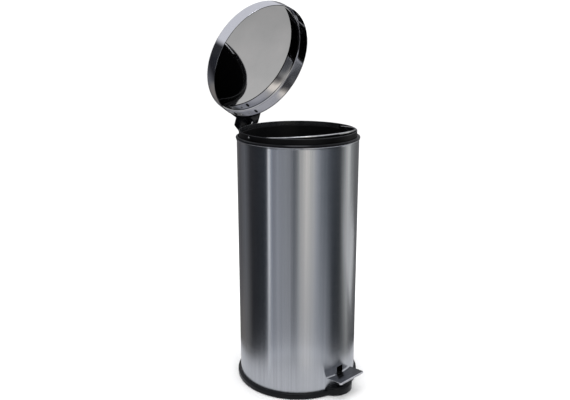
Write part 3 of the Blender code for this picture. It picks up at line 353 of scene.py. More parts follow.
collar_low, collar_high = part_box("top_collar")
collar_radius = collar_high.x
mouth = 0.1392
flange_top, flange_low = collar_high.z - 0.0020, shell_high.z + 0.0003
skirt_inside, seat_low = upstand - 0.0020, collar_high.z - 0.0026
collar = spun("collar_ring", softened([
    (mouth, collar_high.z, 0.0006), (shell_radius - 0.0025, collar_high.z, 0.0007),
    (shell_radius - 0.0005, flange_top, 0.0006), (collar_radius, flange_top, 0.0008),
    (collar_radius, flange_low, 0.0003), (upstand, flange_low, 0), (upstand, collar_low.z, 0.0003),
    (skirt_inside, collar_low.z, 0.0003), (skirt_inside, seat_low, 0.0005), (mouth, seat_low, 0.0004)]), 256)
finished(collar, gloss_black, "can", "gloss_black_plastic", "top_collar")


# ---- Inner bucket
# A tapered black polypropylene pail that lifts out. Its deep turned-out rim hangs on the collar, and
# two small pads inside the rim stiffen it where the handle's ends go through.

bucket_low, bucket_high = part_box("inner_bucket")
rim_radius, rim_inside = 0.1422, 0.1399
rim_top, rim_low = bucket_high.z, collar_high.z + 0.0003
wall_top, wall_foot, wall = 0.1385, 0.1250, 0.0015
bucket = spun("bucket_pail", softened([
    (0.0, bucket_low.z + wall, 0), (wall_foot - wall, bucket_low.z + wall, 0.0040),
    (wall_top - wall, rim_low + wall, 0.0008), (rim_inside, rim_low + wall, 0.0008),
    (rim_inside, rim_top, 0.0009), (rim_radius, rim_top, 0.0012), (rim_radius, rim_low, 0.0006),
    (wall_top, rim_low, 0.0004), (wall_foot, bucket_low.z, 0.0055), (0.0, bucket_low.z, 0)]), 256)
handle_joint = joints["handle_swing"]
handle_pivot = Vector(handle_joint["pos_m"])
sideways = -Vector(handle_joint["axis"])
turn = math.atan2(sideways.y, sideways.x)
pad_middle, pad_half, pad_half_width = rim_inside - 0.0006, 0.0014, 0.0080
pads = [block("handle_pad", (side * pad_middle - pad_half, -pad_half_width, rim_top - 0.0125),
              (side * pad_middle + pad_half, pad_half_width, rim_top - 0.0006),
              Matrix.Rotation(turn, 4, "Z")) for side in (-1, 1)]
cut(bucket, *pads, operation="UNION")
handle_hole, past_rim = 0.0023, 0.16
cut(bucket, along(handle_pivot - past_rim * sideways, handle_pivot + past_rim * sideways, handle_hole, 32))

# The same plastic with a satin mould finish: flow marks run down the wall as the plastic filled the
# mould, a few millimetres wide, and the grain of 0.15 mm is drawn as 0.9 mm.
satin_black, tree, shader = new_finish("satin_black_polypropylene", Metallic=0.0, IOR=1.49,
                                       Specular_IOR_Level=0.14)
flow = stretched_noise(tree, (220.0, 220.0, 9.0), 2.0)
tree.links.new(shades(tree, flow, (0.3, "040405"), (0.7, "070708")), shader.inputs["Base Color"])
tree.links.new(spread(tree, flow, 0.36, 0.46), shader.inputs["Roughness"])
relief(tree, shader, stretched_noise(tree, (1100.0, 1100.0, 1100.0), 1.0), 0.00002)
finished(bucket, satin_black, "can", "matte_black_plastic", "inner_bucket")

# The rim has its own glossier finish, and its lighter grey base colour is painted sheen, for the grey shine
# along the rim.
rim_painted_sheen, tree, shader = new_finish("rim_sheen_black_polypropylene", IOR=1.49, Specular_IOR_Level=0.5)
sheen_patches = stretched_noise(tree, (45.0, 45.0, 45.0), 3.0)
tree.links.new(shades(tree, sheen_patches, (0.3, "101113"), (0.7, "1B1C1F")), shader.inputs["Base Color"])
tree.links.new(spread(tree, sheen_patches, 0.18, 0.30), shader.inputs["Roughness"])
bucket.data.materials.append(rim_painted_sheen)
# The rim's top and outer faces take the painted sheen.
for face in bucket.data.polygons:
    if face.center.z > rim_top - 0.0060 and face.center.xy.length > rim_inside - 0.0004:
        face.material_index = 1


# ---- Bucket handle
# A bail of 4 mm bright plated steel wire, bent to an arch with its ends turned out through two holes
# in the bucket's rim. It lies forward on the rim and swings up to lift the bucket out.

def bent(corners, radius, steps=8):
    """The path through the corners, each of them turned in an arc."""
    corners = [Vector(corner) for corner in corners]
    path = [corners[0]]
    for before, corner, after in zip(corners, corners[1:], corners[2:]):
        back = (before - corner).normalized()
        ahead = (after - corner).normalized()
        half = back.angle(ahead) / 2
        centre = corner + (back + ahead).normalized() * (radius / math.sin(half))
        start = (corner + back * (radius / math.tan(half)) - centre).normalized()
        end = (corner + ahead * (radius / math.tan(half)) - centre).normalized()
        path += [centre + start.slerp(end, i / steps) * radius for i in range(steps + 1)]
    return path + [corners[-1]]


def wire(name, path, radius, place=Matrix.Identity(4), sides=20):
    """A round wire along a path, with its two cut ends dressed to a small chamfer."""
    points = [Vector(point) for point in path]
    end_radius, chamfer = radius * 0.72, 0.28
    stations = [(points[0], end_radius)]
    stations.append((points[0] + (points[1] - points[0]).normalized() * radius * chamfer, radius))
    stations += [(point, radius) for point in points[1:-1]]
    stations.append((points[-1] + (points[-2] - points[-1]).normalized() * radius * chamfer, radius))
    stations.append((points[-1], end_radius))
    shape = bmesh.new()
    rings = []
    across = None
    for i, (centre, size) in enumerate(stations):
        before = stations[max(i - 1, 0)][0]
        after = stations[min(i + 1, len(stations) - 1)][0]
        ahead = (after - before).normalized()
        if across is None:
            across = ahead.orthogonal().normalized()
        across = (across - ahead * across.dot(ahead)).normalized()
        up = ahead.cross(across)
        angles = [math.tau * k / sides for k in range(sides)]
        rings.append([shape.verts.new(place @ (centre + size * (math.cos(a) * across + math.sin(a) * up)))
                      for a in angles])
    for ring, following in zip(rings, rings[1:]):
        for k in range(sides):
            shape.faces.new((ring[k], following[k], following[(k + 1) % sides], ring[(k + 1) % sides]))
    shape.faces.new(rings[0])
    shape.faces.new(rings[-1])
    return new_piece(name, shape)


wire_radius = 0.0020
handle_half_width, handle_length, handle_bend = 0.1361, 0.1392, 0.0030
tip = rim_radius + 0.0014
handle_rest = -math.radians(5.071)
start = bent([(-tip, 0, 0), (-handle_half_width, 0, 0), (-handle_half_width, -handle_length, 0)],
             handle_bend)[:-1]
arch = []
for step in range(1, 72):
    along_arch = math.pi * step / 72
    arch.append(Vector((-handle_half_width * math.cos(along_arch),
                        -handle_bend - (handle_length - handle_bend) * math.sin(along_arch), 0.0)))
other_end = [Vector((-point.x, point.y, point.z)) for point in reversed(start)]
lie = Matrix.Translation(handle_pivot) @ Matrix.Rotation(turn, 4, "Z") @ Matrix.Rotation(handle_rest, 4, "X")
handle = wire("bail_wire", start + arch + other_end, wire_radius, lie)

# Nickel-plated steel wire: bright and smooth, with the plating's faint unevenness drawn a millimetre
# across, and duller in patches of a centimetre where the plating has been rubbed.
plated_wire, tree, shader = new_finish("nickel_plated_steel_wire", Metallic=1.0)
rubbed = stretched_noise(tree, (90.0, 90.0, 90.0), 3.0)
tree.links.new(shades(tree, rubbed, (0.35, "C4C5C6"), (0.65, "DCDCDB")), shader.inputs["Base Color"])
tree.links.new(spread(tree, rubbed, 0.10, 0.22), shader.inputs["Roughness"])
relief(tree, shader, stretched_noise(tree, (900.0, 900.0, 900.0), 1.0), 0.000005)
finished(handle, plated_wire, "handle", "steel_wire", "bucket_handle", sharp=50)


# ---- Hinge base, its backing plate and its screws
# A black moulded bracket on the shell's back: a curved saddle, a hollow cover for the lift rod and two
# cheeks for the hinge pin. Four screws from inside pull it against a curved steel plate.

hinge = Vector(joints["lid_hinge"]["pos_m"])
saddle_low, saddle_high = 0.5310, 0.6000
shell_outside = shell_radius + 0.0003
saddle_outside = shell_outside + 0.0092
saddle = spun("hinge_saddle", softened([
    (shell_outside, saddle_high, 0), (saddle_outside, saddle_high, 0.0015),
    (saddle_outside, saddle_low, 0.0015), (shell_outside, saddle_low, 0)]), 360)
saddle_half = 0.0280
plan = [(-saddle_half, 0.10), (saddle_half, 0.10), (saddle_half, 0.19), (-saddle_half, 0.19)]
cut(saddle, drawn("saddle_width", plan, saddle_low - 0.01, saddle_high + 0.01), operation="INTERSECT")
cheek_radius, cheek_near, cheek_far = 0.0060, 0.0125, 0.0192
front, rear, cover_top = shell_outside + 0.0031, hinge.y + cheek_radius, saddle_high - 0.001
cover = [(front, saddle_low + 0.0030), (saddle_outside - 0.0015, saddle_low + 0.0015),
         (rear, saddle_low + rear - saddle_outside)]
cover += arc((hinge.y, hinge.z), cheek_radius, 0, 180, 24) + [(0.1677, cover_top), (front, cover_top)]
cut(saddle, drawn("hinge_cover", cover, -cheek_far, cheek_far, "YZ"), operation="UNION")
near, back = shell_outside + 0.0045, rear - 0.0030
floor = saddle_low + 0.0048
bend = saddle_outside - 0.00075
open_top = hinge.z + 0.02
channel = [(near, floor), (bend, floor), (back, floor + back - bend), (back, open_top), (near, open_top)]
cut(saddle, drawn("hinge_channel", channel, -cheek_near, cheek_near, "YZ"))
eased(saddle, 0.0006, 2, 40)
pin_hole = 0.0028
cut(saddle, rod_way(0.1445, near + 0.001), cross_bore(hinge, 0.03, pin_hole))
finished(saddle, gloss_black, "can", "gloss_black_plastic", "hinge_base")

backing_low, backing_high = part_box("hinge_backing_plate")
backing_near, backing_far, backing_half = 0.1453, 0.1466, 0.0300
backing = spun("backing_strip", [(backing_near, backing_low.z), (backing_near, backing_high.z),
                                 (backing_far, backing_high.z), (backing_far, backing_low.z)], 360)
cut(backing, block("backing_width", (-backing_half, 0.07, 0.52), (backing_half, 0.16, 0.61)),
    operation="INTERSECT")
cut(backing, rod_way(0.1400, 0.16))
eased(backing, 0.0003, 1)

# Pressed steel: cold-rolled strip with the rolls' fine lines along it, tumbled so its edges are soft;
# greyer and duller than the brushed sheet. Roll lines 0.1 mm apart are drawn 1 mm apart.
pressed_steel, tree, shader = new_finish("tumbled_pressed_steel", Metallic=1.0)
rolled = stretched_noise(tree, (900.0, 40.0, 900.0), 3.0)
tree.links.new(shades(tree, rolled, (0.3, "7A7C80"), (0.7, "96989C")), shader.inputs["Base Color"])
tree.links.new(spread(tree, rolled, 0.26, 0.38), shader.inputs["Roughness"])
relief(tree, shader, rolled, 0.00001)
finished(backing, pressed_steel, "can", "pressed_steel", "hinge_backing_plate")


def screw(name, place, head, shank, head_height, length):
    """A domed screw along the place's +Z, with a cross recess in its head."""
    dome = [(0.0, head_height)] + [(head * math.sin(a), head_height * (0.35 + 0.65 * math.cos(a)))
                                   for a in (0.25, 0.5, 0.8, 1.1, 1.35, math.pi / 2)]
    outline = dome + [(head, 0.0), (shank, 0.0)]
    pitch, core, point = 0.0009, shank * 0.84, shank * 0.4
    for i in range(int((length - 0.001) / pitch)):
        outline += [(shank, -0.0005 - i * pitch), (core, -0.0005 - (i + 0.5) * pitch)]
    outline += [(core, -length + 0.0006), (point, -length), (0.0, -length)]
    made = spun(name, outline, 40, place)
    wing, blade, depth = head * 0.52, 0.00028, head_height * 0.55
    for a, b in ((wing, blade), (blade, wing)):
        cut(made, block("recess", (-a, -b, depth), (a, b, head_height + 0.001), place))
    return made


def standing(centre, direction):
    """The matrix that stands a local +Z shape at centre, along direction."""
    return Matrix.Translation(centre) @ Vector(direction).to_track_quat("Z", "Y").to_matrix().to_4x4()


def round_back(side, radius, height):
    """A point on a circle about the bin's axis at the back, at a distance to the side."""
    angle = math.asin(side / shell_radius)
    return Vector((radius * math.sin(angle), radius * math.cos(angle), height))


for number, side in enumerate((-0.0230, 0.0230, -0.0230, 0.0230), 1):
    low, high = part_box("hinge_screw_%d" % number)
    seat = round_back(side, 0.1450, (low.z + high.z) / 2)
    fixing = screw("hinge_fixing_%d" % number, standing(seat, -round_back(side, 1.0, 0.0)),
                   head=0.0040, shank=0.0018, head_height=0.0018, length=0.0088)
    finished(fixing, plated_wire, "can", "steel_wire", "hinge_screw_%d" % number)


# ---- Hinge pin and its clip
# A 5 mm plated steel pin through the arm's ears and the base's cheeks. It has a turned head on one
# end, and a spring steel clip in a groove on the other keeps it in.

def keeper(name, radius, half, rounding, centre):
    """A spring clip round a pin or wire that runs from side to side."""
    outline = softened([(0.0023, half, 0.0001), (radius, half, rounding),
                        (radius, -half, rounding), (0.0023, -half, 0.0001)], 2)
    return spun(name, outline, 48, standing(centre, (1.0, 0.0, 0.0)))


pin_radius, groove_radius, head_radius = 0.0025, 0.0020, 0.0042
pin = spun("hinge_pin_turned", softened([
    (0.0, 0.0281, 0), (pin_radius, 0.0281, 0.0005), (pin_radius, 0.0271, 0), (groove_radius, 0.0271, 0),
    (groove_radius, 0.0256, 0), (pin_radius, 0.0256, 0), (pin_radius, -0.0256, 0),
    (head_radius, -0.0256, 0.0002), (head_radius, -0.0272, 0.0005), (0.0, -0.0272, 0)], 3), 48,
    standing(hinge, (1.0, 0.0, 0.0)))
finished(pin, plated_wire, "can", "steel_wire", "hinge_pin")
clip = keeper("hinge_pin_keeper", 0.0048, 0.00045, 0.0002, hinge + Vector((0.02635, 0.0, 0.0)))
finished(clip, pressed_steel, "can", "pressed_steel", "hinge_pin_clip")


# ---- Lid
# A shallow pan spun from 0.6 mm stainless. Its skirt is turned down at a small radius, its edge is
# rolled inwards, and it has two slots for the arm's tabs and two holes for the arm's screws.

open_angle = math.radians(joints["lid_hinge"]["range_deg"][1])
opened = Matrix.Translation(hinge) @ Matrix.Rotation(-open_angle, 4, "X") @ Matrix.Translation(-hinge)
lid_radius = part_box("lid_shell")[1].x
lid_low = shell_high.z + 0.0033
lid_high = lid_low + 0.0320
edge = 0.0056
curve = arc((lid_radius - edge, lid_high - edge), edge, 90, 0, 12)
inner_curve = arc((lid_radius - edge, lid_high - edge), edge - sheet, 0, 90, 12)
outline = [(0.0, lid_high), (0.05, lid_high), (0.10, lid_high), (0.13, lid_high)] + curve
hem = 0.0009
outline += arc((lid_radius - hem, lid_low + hem), hem, 0, -180, 12)
outline += [(lid_radius - 2 * hem, lid_low + hem + 0.0002), (lid_radius - sheet - 0.0006, lid_low + 2 * hem),
            (lid_radius - sheet, lid_low + 2 * hem + 0.0001)]
outline += inner_curve + [(r, lid_high - sheet) for r in (0.13, 0.10, 0.05, 0.0)]
lid = spun("lid_pan", outline, 256)
fixing_height = lid_low + 0.0137
tab_angle = math.asin(0.0350 / lid_radius)
screw_angle = math.asin(0.0150 / lid_radius)


def tab_block(name, side, half_width, half_height, near, far):
    """An upright block through the skirt at one of the two tabs."""
    return block(name, (-half_width, near, fixing_height - half_height),
                 (half_width, far, fixing_height + half_height), Matrix.Rotation(-side * tab_angle, 4, "Z"))


def screw_line(side):
    """The centre and the outward direction of one of the two screws through the skirt."""
    return (Vector((0.0, 0.0, fixing_height)),
            Vector((math.sin(side * screw_angle), math.cos(side * screw_angle), 0.0)))


screw_hole = 0.0019
for side in (-1, 1):
    cut(lid, tab_block("tab_slot", side, 0.0014, 0.0060, lid_radius - 0.004, lid_radius + 0.004))
    middle, outwards = screw_line(side)
    cut(lid, along(middle + 0.140 * outwards, middle + 0.155 * outwards, screw_hole, 32))
lid.data.transform(opened)

# Mirror-polished stainless: no grain to see, a faint haze of wiping marks some 7 cm wide, and the thin
# sheet's own waviness, 0.02 mm deep over 12 cm, which bends what it mirrors a little.
mirror_steel, tree, shader = new_finish("mirror_polished_stainless", Metallic=1.0)
wiping = stretched_noise(tree, (14.0, 14.0, 14.0), 4.0)
tree.links.new(shades(tree, wiping, (0.3, "C2C2C2"), (0.7, "CBCACA")), shader.inputs["Base Color"])
tree.links.new(spread(tree, wiping, 0.02, 0.05), shader.inputs["Roughness"])
relief(tree, shader, stretched_noise(tree, (8.0, 8.0, 8.0), 1.0), 0.00002, 0.5)
finished(lid, mirror_steel, "lid", "lid_steel", "lid_shell")

# The outside and the skirt are only polished with a fine belt, so they mirror more softly. The belt's
# lines of 0.05 mm are drawn 2 mm apart.
satin_skirt, tree, shader = new_finish("belt_polished_stainless", Metallic=1.0)
belt_lines = stretched_noise(tree, (30.0, 500.0, 500.0), 3.0)
tree.links.new(shades(tree, belt_lines, (0.3, "D6D6DB"), (0.7, "E0E1E5")), shader.inputs["Base Color"])
tree.links.new(spread(tree, belt_lines, 0.06, 0.09), shader.inputs["Roughness"])
lid.data.materials.append(satin_skirt)

# The inner half and the underside of the rolled edge are painted dark: painted shade for the gap inside the
# rolled edge.
hem_painted_shade, tree, shader = new_finish("hem_painted_shade_stainless", Metallic=1.0, Roughness=0.3)
shade_mottle = stretched_noise(tree, (60.0, 60.0, 60.0), 2.0)
tree.links.new(shades(tree, shade_mottle, (0.3, "1C1D1F"), (0.7, "28292C")), shader.inputs["Base Color"])
lid.data.materials.append(hem_painted_shade)
closed = opened.inverted()
# Faces on the inside and the underside of the hem take the painted shade; the other upward and outward faces
# take the belt finish.
for face in lid.data.polygons:
    across, upright = (closed @ face.center).xy.length, (closed @ face.center).z
    if upright < lid_low + 2.2 * hem and across < lid_radius - 0.35 * hem:
        face.material_index = 2
    elif (closed.to_3x3() @ face.normal).z > -0.3:
        face.material_index = 1


# ---- Lid arm and its screws
# A black glass-filled nylon moulding that carries the lid: a wall against the skirt, a plate back to
# two ears round the pin, and a web with the slot that the lift rod's hook works in.

arm_low = lid_low + 0.0003
arm_high = lid_low + 0.0274
plate_high = arm_low + 0.0040
arm_inside = lid_radius + 0.0003
wall_outside = arm_inside + 0.0060
root = hinge.y + 0.0010
arm_half, root_half, taper = 0.0400, 0.0253, root - 0.0140
plan = [(-arm_half, 0.10), (arm_half, 0.10), (arm_half, taper), (root_half, root), (-root_half, root),
        (-arm_half, taper)]
arm = drawn("arm_plate", plan, arm_low, arm_high)
outside = spun("arm_outside", [(wall_outside, arm_high + 0.01), (0.40, arm_high + 0.01), (0.40, plate_high),
                               (wall_outside, plate_high)], 360)
cut(arm, along((0, 0, arm_low - 0.01), (0, 0, arm_high + 0.01), arm_inside, 360), outside)
joined = arm_low + 0.0020
arm_ear_near, arm_ear_far = 0.0195, 0.0253
profile = [(hinge.y - 0.0140, joined)] + arc((hinge.y, hinge.z), 0.0070, 180, 360, 24)
profile += [(root - 0.0003, joined)]
ears = [drawn("arm_ear", profile, low, high, "YZ")
        for low, high in ((-arm_ear_far, -arm_ear_near), (arm_ear_near, arm_ear_far))]
cut(arm, *ears, operation="UNION")


def hull(name, circles, low, high):
    """The outline round (y, z, radius) circles, thick from low to high along X."""
    shape = bmesh.new()
    for y, z, radius in circles:
        for a, b in arc((y, z), radius, 0, 345, 23):
            for x in (low, high):
                shape.verts.new((x, a, b))
    found = bmesh.ops.convex_hull(shape, input=shape.verts)
    loose = {v for v in found["geom_interior"] + found["geom_unused"] if isinstance(v, bmesh.types.BMVert)}
    bmesh.ops.delete(shape, geom=list(loose), context="VERTS")
    bmesh.ops.dissolve_limit(shape, angle_limit=0.001, verts=shape.verts, edges=shape.edges)
    return new_piece(name, shape)


rod_forward, rod_lift, travel = 0.0160, 0.0210, joints["rod_slide"]["range_m"][1]
hook_path = []
for step in range(17):
    share = step / 16
    angle = open_angle * share
    rise = rod_lift - travel * (1.0 - share)
    hook_path.append((hinge.y - rod_forward * math.cos(angle) - rise * math.sin(angle),
                      hinge.z + rise * math.cos(angle) - rod_forward * math.sin(angle)))
web_radius, web_near, web_far = 0.00495, 0.0054, 0.0089
wire_hole = 0.00235
web = [(y, z, web_radius) for y, z in hook_path]
web += [(hook_path[i][0], joined - web_radius, web_radius) for i in (0, -1)]
cut(arm, hull("cam_web", web, web_near, web_far), operation="UNION")
eased(arm, 0.0005, 2, 40)
skirt_face = lid_radius - sheet
tabs = [tab_block("arm_tab", side, 0.0011, 0.0057, skirt_face - 0.0013, arm_inside + 0.003)
        for side in (-1, 1)]
tabs += [tab_block("tab_head", side, 0.0026, 0.0045, skirt_face - 0.0013, skirt_face - 0.0002)
         for side in (-1, 1)]
cut(arm, *tabs, operation="UNION")
cut(arm, hull("cam_slot", [(y, z, wire_hole) for y, z in hook_path], web_near - 0.0020, web_far + 0.0020),
    cross_bore(hinge, 0.04, pin_hole))
for side, name in ((-1, "lid_screw_left"), (1, "lid_screw_right")):
    middle, outwards = screw_line(side)
    cut(arm, along(middle + 0.140 * outwards, middle + (lid_radius + 0.0048) * outwards, screw_hole, 32))
    seat = standing(middle + (skirt_face - 0.0003) * outwards, -outwards)
    fixing = screw(name + "_cross", opened @ seat,
                   head=0.0030, shank=0.0016, head_height=0.0016, length=0.0053)
    finished(fixing, plated_wire, "lid", "steel_wire", name)
arm.data.transform(opened)
finished(arm, gloss_black, "lid", "gloss_black_plastic", "lid_arm")


# ---- Lift rod, its clip and its guides
# A 4 mm plated steel wire from the pedal lever up inside the shell's back and out to the lid arm, where
# a hook at its top works in the arm's slot. Two black plastic blocks guide it, and a clip keeps its foot.

rod_back = 0.1405
eye_height = 0.0480
hook_back, hook_height = hinge.y - rod_forward, hinge.z + rod_lift
rod = wire("lift_wire", bent([
    (0.0128, rod_back, eye_height), (0.0, rod_back, eye_height), (0.0, rod_back, 0.5600),
    (0.0, hook_back, 0.5600 + 0.0272), (0.0, hook_back, hook_height), (0.0115, hook_back, hook_height)],
    0.0050), wire_radius)
finished(rod, plated_wire, "rod", "steel_wire", "lift_rod", sharp=50)
rod_clip = keeper("rod_keeper", 0.0045, 0.0006, 0.0003, (0.0102, rod_back, eye_height))
finished(rod_clip, pressed_steel, "rod", "pressed_steel", "rod_clip")
for name in ("rod_guide_upper", "rod_guide_lower"):
    low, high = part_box(name)
    guide = block(name + "_block", (low.x, low.y, low.z), (high.x, 0.16, high.z))
    cut(guide, along((0, 0, low.z - 0.01), (0, 0, high.z + 0.01), upstand, 360), operation="INTERSECT")
    eased(guide, 0.0008, 3)
    cut(guide, along((0, rod_back, low.z - 0.01), (0, rod_back, high.z + 0.01), wire_hole, 32))
    finished(guide, satin_black, "can", "matte_black_plastic", name)


# ---- Pedal lever
# A channel pressed from 2 mm steel strip, open below. It rocks on the base's pin, carries the pedal
# plate in front of the shell and lifts the rod by an eye in its forked rear end.

pedal_back, pedal_front = 0.1508, 0.1900
slope = math.tan(math.radians(4.3))
pedal_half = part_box("pedal_plate")[1].x


def plate_top(front):
    """The height of the pedal plate's top at a distance in front of the bin's axis."""
    return 0.0466 + (front - pedal_back) * slope


nose = pedal_front - 0.0080
rear_top = eye_height + 0.0057
under = 0.0451
crown = [(-nose, plate_top(nose) - 0.0018), (-pedal_back, under - 0.0003), (pivot.y, pivot.z + 0.0070),
         (0.1250, rear_top)]
outline = crown + arc((rod_back, eye_height), 0.0042, 60, -90, 16)
outline += arc((pivot.y, pivot.z), 0.0065, -40, -140, 12)
outline += [(-pedal_back + 0.004, under - 0.0065), (-nose, plate_top(nose) - 0.0045)]
lever_half, hollow_half, strip = 0.0090, 0.0070, 0.0020
lever = drawn("lever_channel", outline, -lever_half, lever_half, "YZ")
hollow = [(y, z - strip) for y, z in crown]
hollow += [(0.1550, rear_top - strip), (0.1550, 0.0), (-nose - 0.01, 0.0),
           (-nose - 0.01, plate_top(nose) - 0.0038)]
cut(lever, drawn("lever_hollow", hollow, -hollow_half, hollow_half, "YZ"))
cut(lever, block("lever_fork", (-hollow_half, 0.1250, 0.03), (hollow_half, 0.1650, 0.07)))
eased(lever, 0.0003, 1, 40)
rod_eye = [(rod_back - 0.0003, eye_height, wire_hole), (rod_back + 0.0016, eye_height, wire_hole)]
cut(lever, cross_bore(pivot, 0.02, rivet_hole), hull("rod_eye", rod_eye, 0.0, 0.02))
finished(lever, pressed_steel, "pedal", "pressed_steel", "pedal_lever")


# ---- Pedal plate
# A tread pressed from 1.5 mm stainless, spot welded on the lever. Its front edge is folded under to a
# round hem, its front corners are rounded, and its back edge follows the shell.

tread, tread_hem, corner = 0.0015, 0.0023, 0.0050
hem_back = pedal_front - 0.0070
hem_centre = (-pedal_front + tread_hem, plate_top(pedal_front - tread_hem) - tread_hem)
back = pedal_back - 0.0200
outline = [(-back, plate_top(back))] + arc(hem_centre, tread_hem, 90, 270, 14)
outline += [(-hem_back, hem_centre[1] - tread_hem), (-hem_back, plate_top(hem_back) - tread),
            (-back, plate_top(back) - tread)]
plate = drawn("tread", outline, -0.0500, 0.0500, "YZ")
plan = [(pedal_half, -0.06), (-pedal_half, -0.06)]
plan += arc((-pedal_half + corner, -pedal_front + corner), corner, 180, 270, 12)
plan += arc((pedal_half - corner, -pedal_front + corner), corner, 270, 360, 12)
cut(plate, drawn("tread_plan", plan, 0.0, 0.1), operation="INTERSECT")
cut(plate, along((0, 0, 0), (0, 0, 0.1), pedal_back, 360))
eased(plate, 0.0003, 2, 40)

# Satin stainless: brushed along the tread's length from side to side, so it shines in a soft streak
# across the scratches. Scratches of 0.08 mm are drawn 0.9 mm apart.
satin_steel, tree, shader = new_finish("satin_brushed_tread", Metallic=1.0)
tread_lines = stretched_noise(tree, (60.0, 1100.0, 300.0), 3.0)
# The tread's base colour is far darker than bare stainless: painted shade for the dark room that the tread
# mirrors.
tree.links.new(shades(tree, tread_lines, (0.3, "616368"), (0.7, "77797D")), shader.inputs["Base Color"])
tree.links.new(spread(tree, tread_lines, 0.24, 0.36), shader.inputs["Roughness"])
relief(tree, shader, tread_lines, 0.00001)
finished(plate, satin_steel, "pedal", "pressed_steel", "pedal_plate")

# The folded hem and the trimmed edges get a bright, smoother finish: a painted highlight for the bright line
# along these edges.
tread_edge_painted_highlight, tree, shader = new_finish("tread_edge_highlight_stainless", Metallic=1.0)
sheen_patches = stretched_noise(tree, (160.0, 160.0, 160.0), 2.0)
tree.links.new(shades(tree, sheen_patches, (0.3, "D2D3D6"), (0.7, "E8E8EA")), shader.inputs["Base Color"])
tree.links.new(spread(tree, sheen_patches, 0.16, 0.26), shader.inputs["Roughness"])
plate.data.materials.append(tread_edge_painted_highlight)
# Faces of the front hem and the trimmed edges take the painted highlight.
for face in plate.data.polygons:
    side, depth = abs(face.center.x), face.center.y
    trimmed = side > pedal_half - 0.0006 or face.center.xy.length < pedal_back + 0.0006
    if depth < -pedal_front + 0.0030 or trimmed:
        face.material_index = 1


# ---- Lever pivot pin
# A plated steel rivet pushed through the base's two ears and the lever, with a flat head on one side.

rivet_radius, rivet_head = 0.0030, 0.0045
rivet = spun("lever_rivet", softened([
    (0.0, 0.0152, 0), (rivet_radius, 0.0152, 0.0005), (rivet_radius, -0.0145, 0),
    (rivet_head, -0.0145, 0.0002), (rivet_head, -0.0160, 0.0005), (0.0, -0.0160, 0)], 3), 48,
    standing(pivot, (1.0, 0.0, 0.0)))
finished(rivet, plated_wire, "can", "steel_wire", "lever_pivot_pin")


# ---- Floor and light
# A plain pale floor and a white studio. The steel mirrors the room's soft boxes, and the dark flags
# between them, as upright bands, and two lit patches of floor that only its mirroring sees.

pale, tree, shader = new_finish("pale_paper", Roughness=0.9, Specular_IOR_Level=0.1)
tree.links.new(shades(tree, stretched_noise(tree, (3.0, 3.0, 3.0), 2.0), (0.3, "F2F2F3"), (0.7, "F5F5F5")),
               shader.inputs["Base Color"])
shape = bmesh.new()
bmesh.ops.create_circle(shape, cap_ends=True, segments=96, radius=30.0,
                        matrix=Matrix.Translation((0.0, 0.0, -0.0010)))
floor_paper = new_piece("floor", shape)
floor_paper.visible_glossy = False
floor_paper.data.materials.append(pale)


def glow_card(name, outline, height, *stops):
    """A lit patch of floor that only the steel's mirroring sees, with its colours over its Y."""
    card = drawn(name, outline, height - 0.0002, height)
    lit, tree, shader = new_finish(name + "_glow", Base_Color=(0.0, 0.0, 0.0, 1.0), Specular_IOR_Level=0.0,
                                   Emission_Strength=1.0)
    place = add_node(tree, "ShaderNodeTexCoord")
    ways = add_node(tree, "ShaderNodeSeparateXYZ", {"Vector": place.outputs["Object"]})
    across = add_node(tree, "ShaderNodeMapRange", {"Value": ways.outputs["Y"],
                                                   "From Min": -1.0, "From Max": 0.0})
    tree.links.new(shades(tree, across.outputs["Result"], *stops), shader.inputs["Emission Color"])
    card.data.materials.append(lit)
    card.visible_camera = card.visible_diffuse = card.visible_shadow = False


camera_place = (-1.1772, -1.1532, 0.8995)
camera_bearing = math.atan2(camera_place[1], camera_place[0])
front = math.degrees(camera_bearing)
patch_height, patch_reach, patch_bulge = -0.0003, 0.26, 0.11
rim = []
for away in range(-180, 180, 4):
    reach = patch_reach + patch_bulge * max(0.0, math.cos(math.radians(away))) ** 1.5
    a = math.radians(front + away)
    rim.append((reach * math.cos(a), reach * math.sin(a)))
glow_card("floor_by_the_bin", rim, patch_height, (0.0, "D2D3D7"), (1.0, "D2D3D7"))
glow_card("floor_on_the_right", [(0.55, -0.20), (0.95, -1.15), (1.75, -0.95), (1.35, 0.0)], patch_height,
          (0.05, "BCBCBC"), (0.70, "DDDDDD"))

world = bpy.data.worlds.new("studio")
world.use_nodes = True
bpy.context.scene.world = world
tree = world.node_tree
tree.nodes.clear()
place = add_node(tree, "ShaderNodeTexCoord")
parts = add_node(tree, "ShaderNodeSeparateXYZ", {"Vector": place.outputs["Generated"]})
height = parts.outputs["Z"]
# The bearing of a direction, from 0 on the side away from the camera round to 1, and 0.5 towards it
turned_back = add_node(tree, "ShaderNodeVectorRotate", {"Vector": place.outputs["Generated"],
                                                        "Axis": (0.0, 0.0, 1.0), "Angle": -camera_bearing},
                       rotation_type="AXIS_ANGLE")
flat = add_node(tree, "ShaderNodeSeparateXYZ", {"Vector": turned_back.outputs["Vector"]})
bearing = add_node(tree, "ShaderNodeMath", {0: flat.outputs["Y"], 1: flat.outputs["X"]}, operation="ARCTAN2")
share = add_node(tree, "ShaderNodeMapRange", {"Value": bearing.outputs["Value"], "From Min": -math.pi,
                                              "From Max": math.pi}).outputs["Result"]


def round_the_room(*stops):
    """Upright bands of colour, as (bearing in degrees from the camera's, hex colour) stops."""
    return shades(tree, share, *[((angle + 180) / 360, hex_colour) for angle, hex_colour in stops])


def rising(low, high, first=0.0, last=1.0):
    """A smooth step over the height of a direction."""
    return add_node(tree, "ShaderNodeMapRange", {"Value": height, "From Min": low, "From Max": high,
                                                 "To Min": first, "To Max": last},
                    interpolation_type="SMOOTHSTEP").outputs["Result"]


def over(below, above, factor):
    """One colour changing to another."""
    return add_node(tree, "ShaderNodeMix", {"Factor": factor, "A": below, "B": above},
                    data_type="RGBA").outputs["Result"]


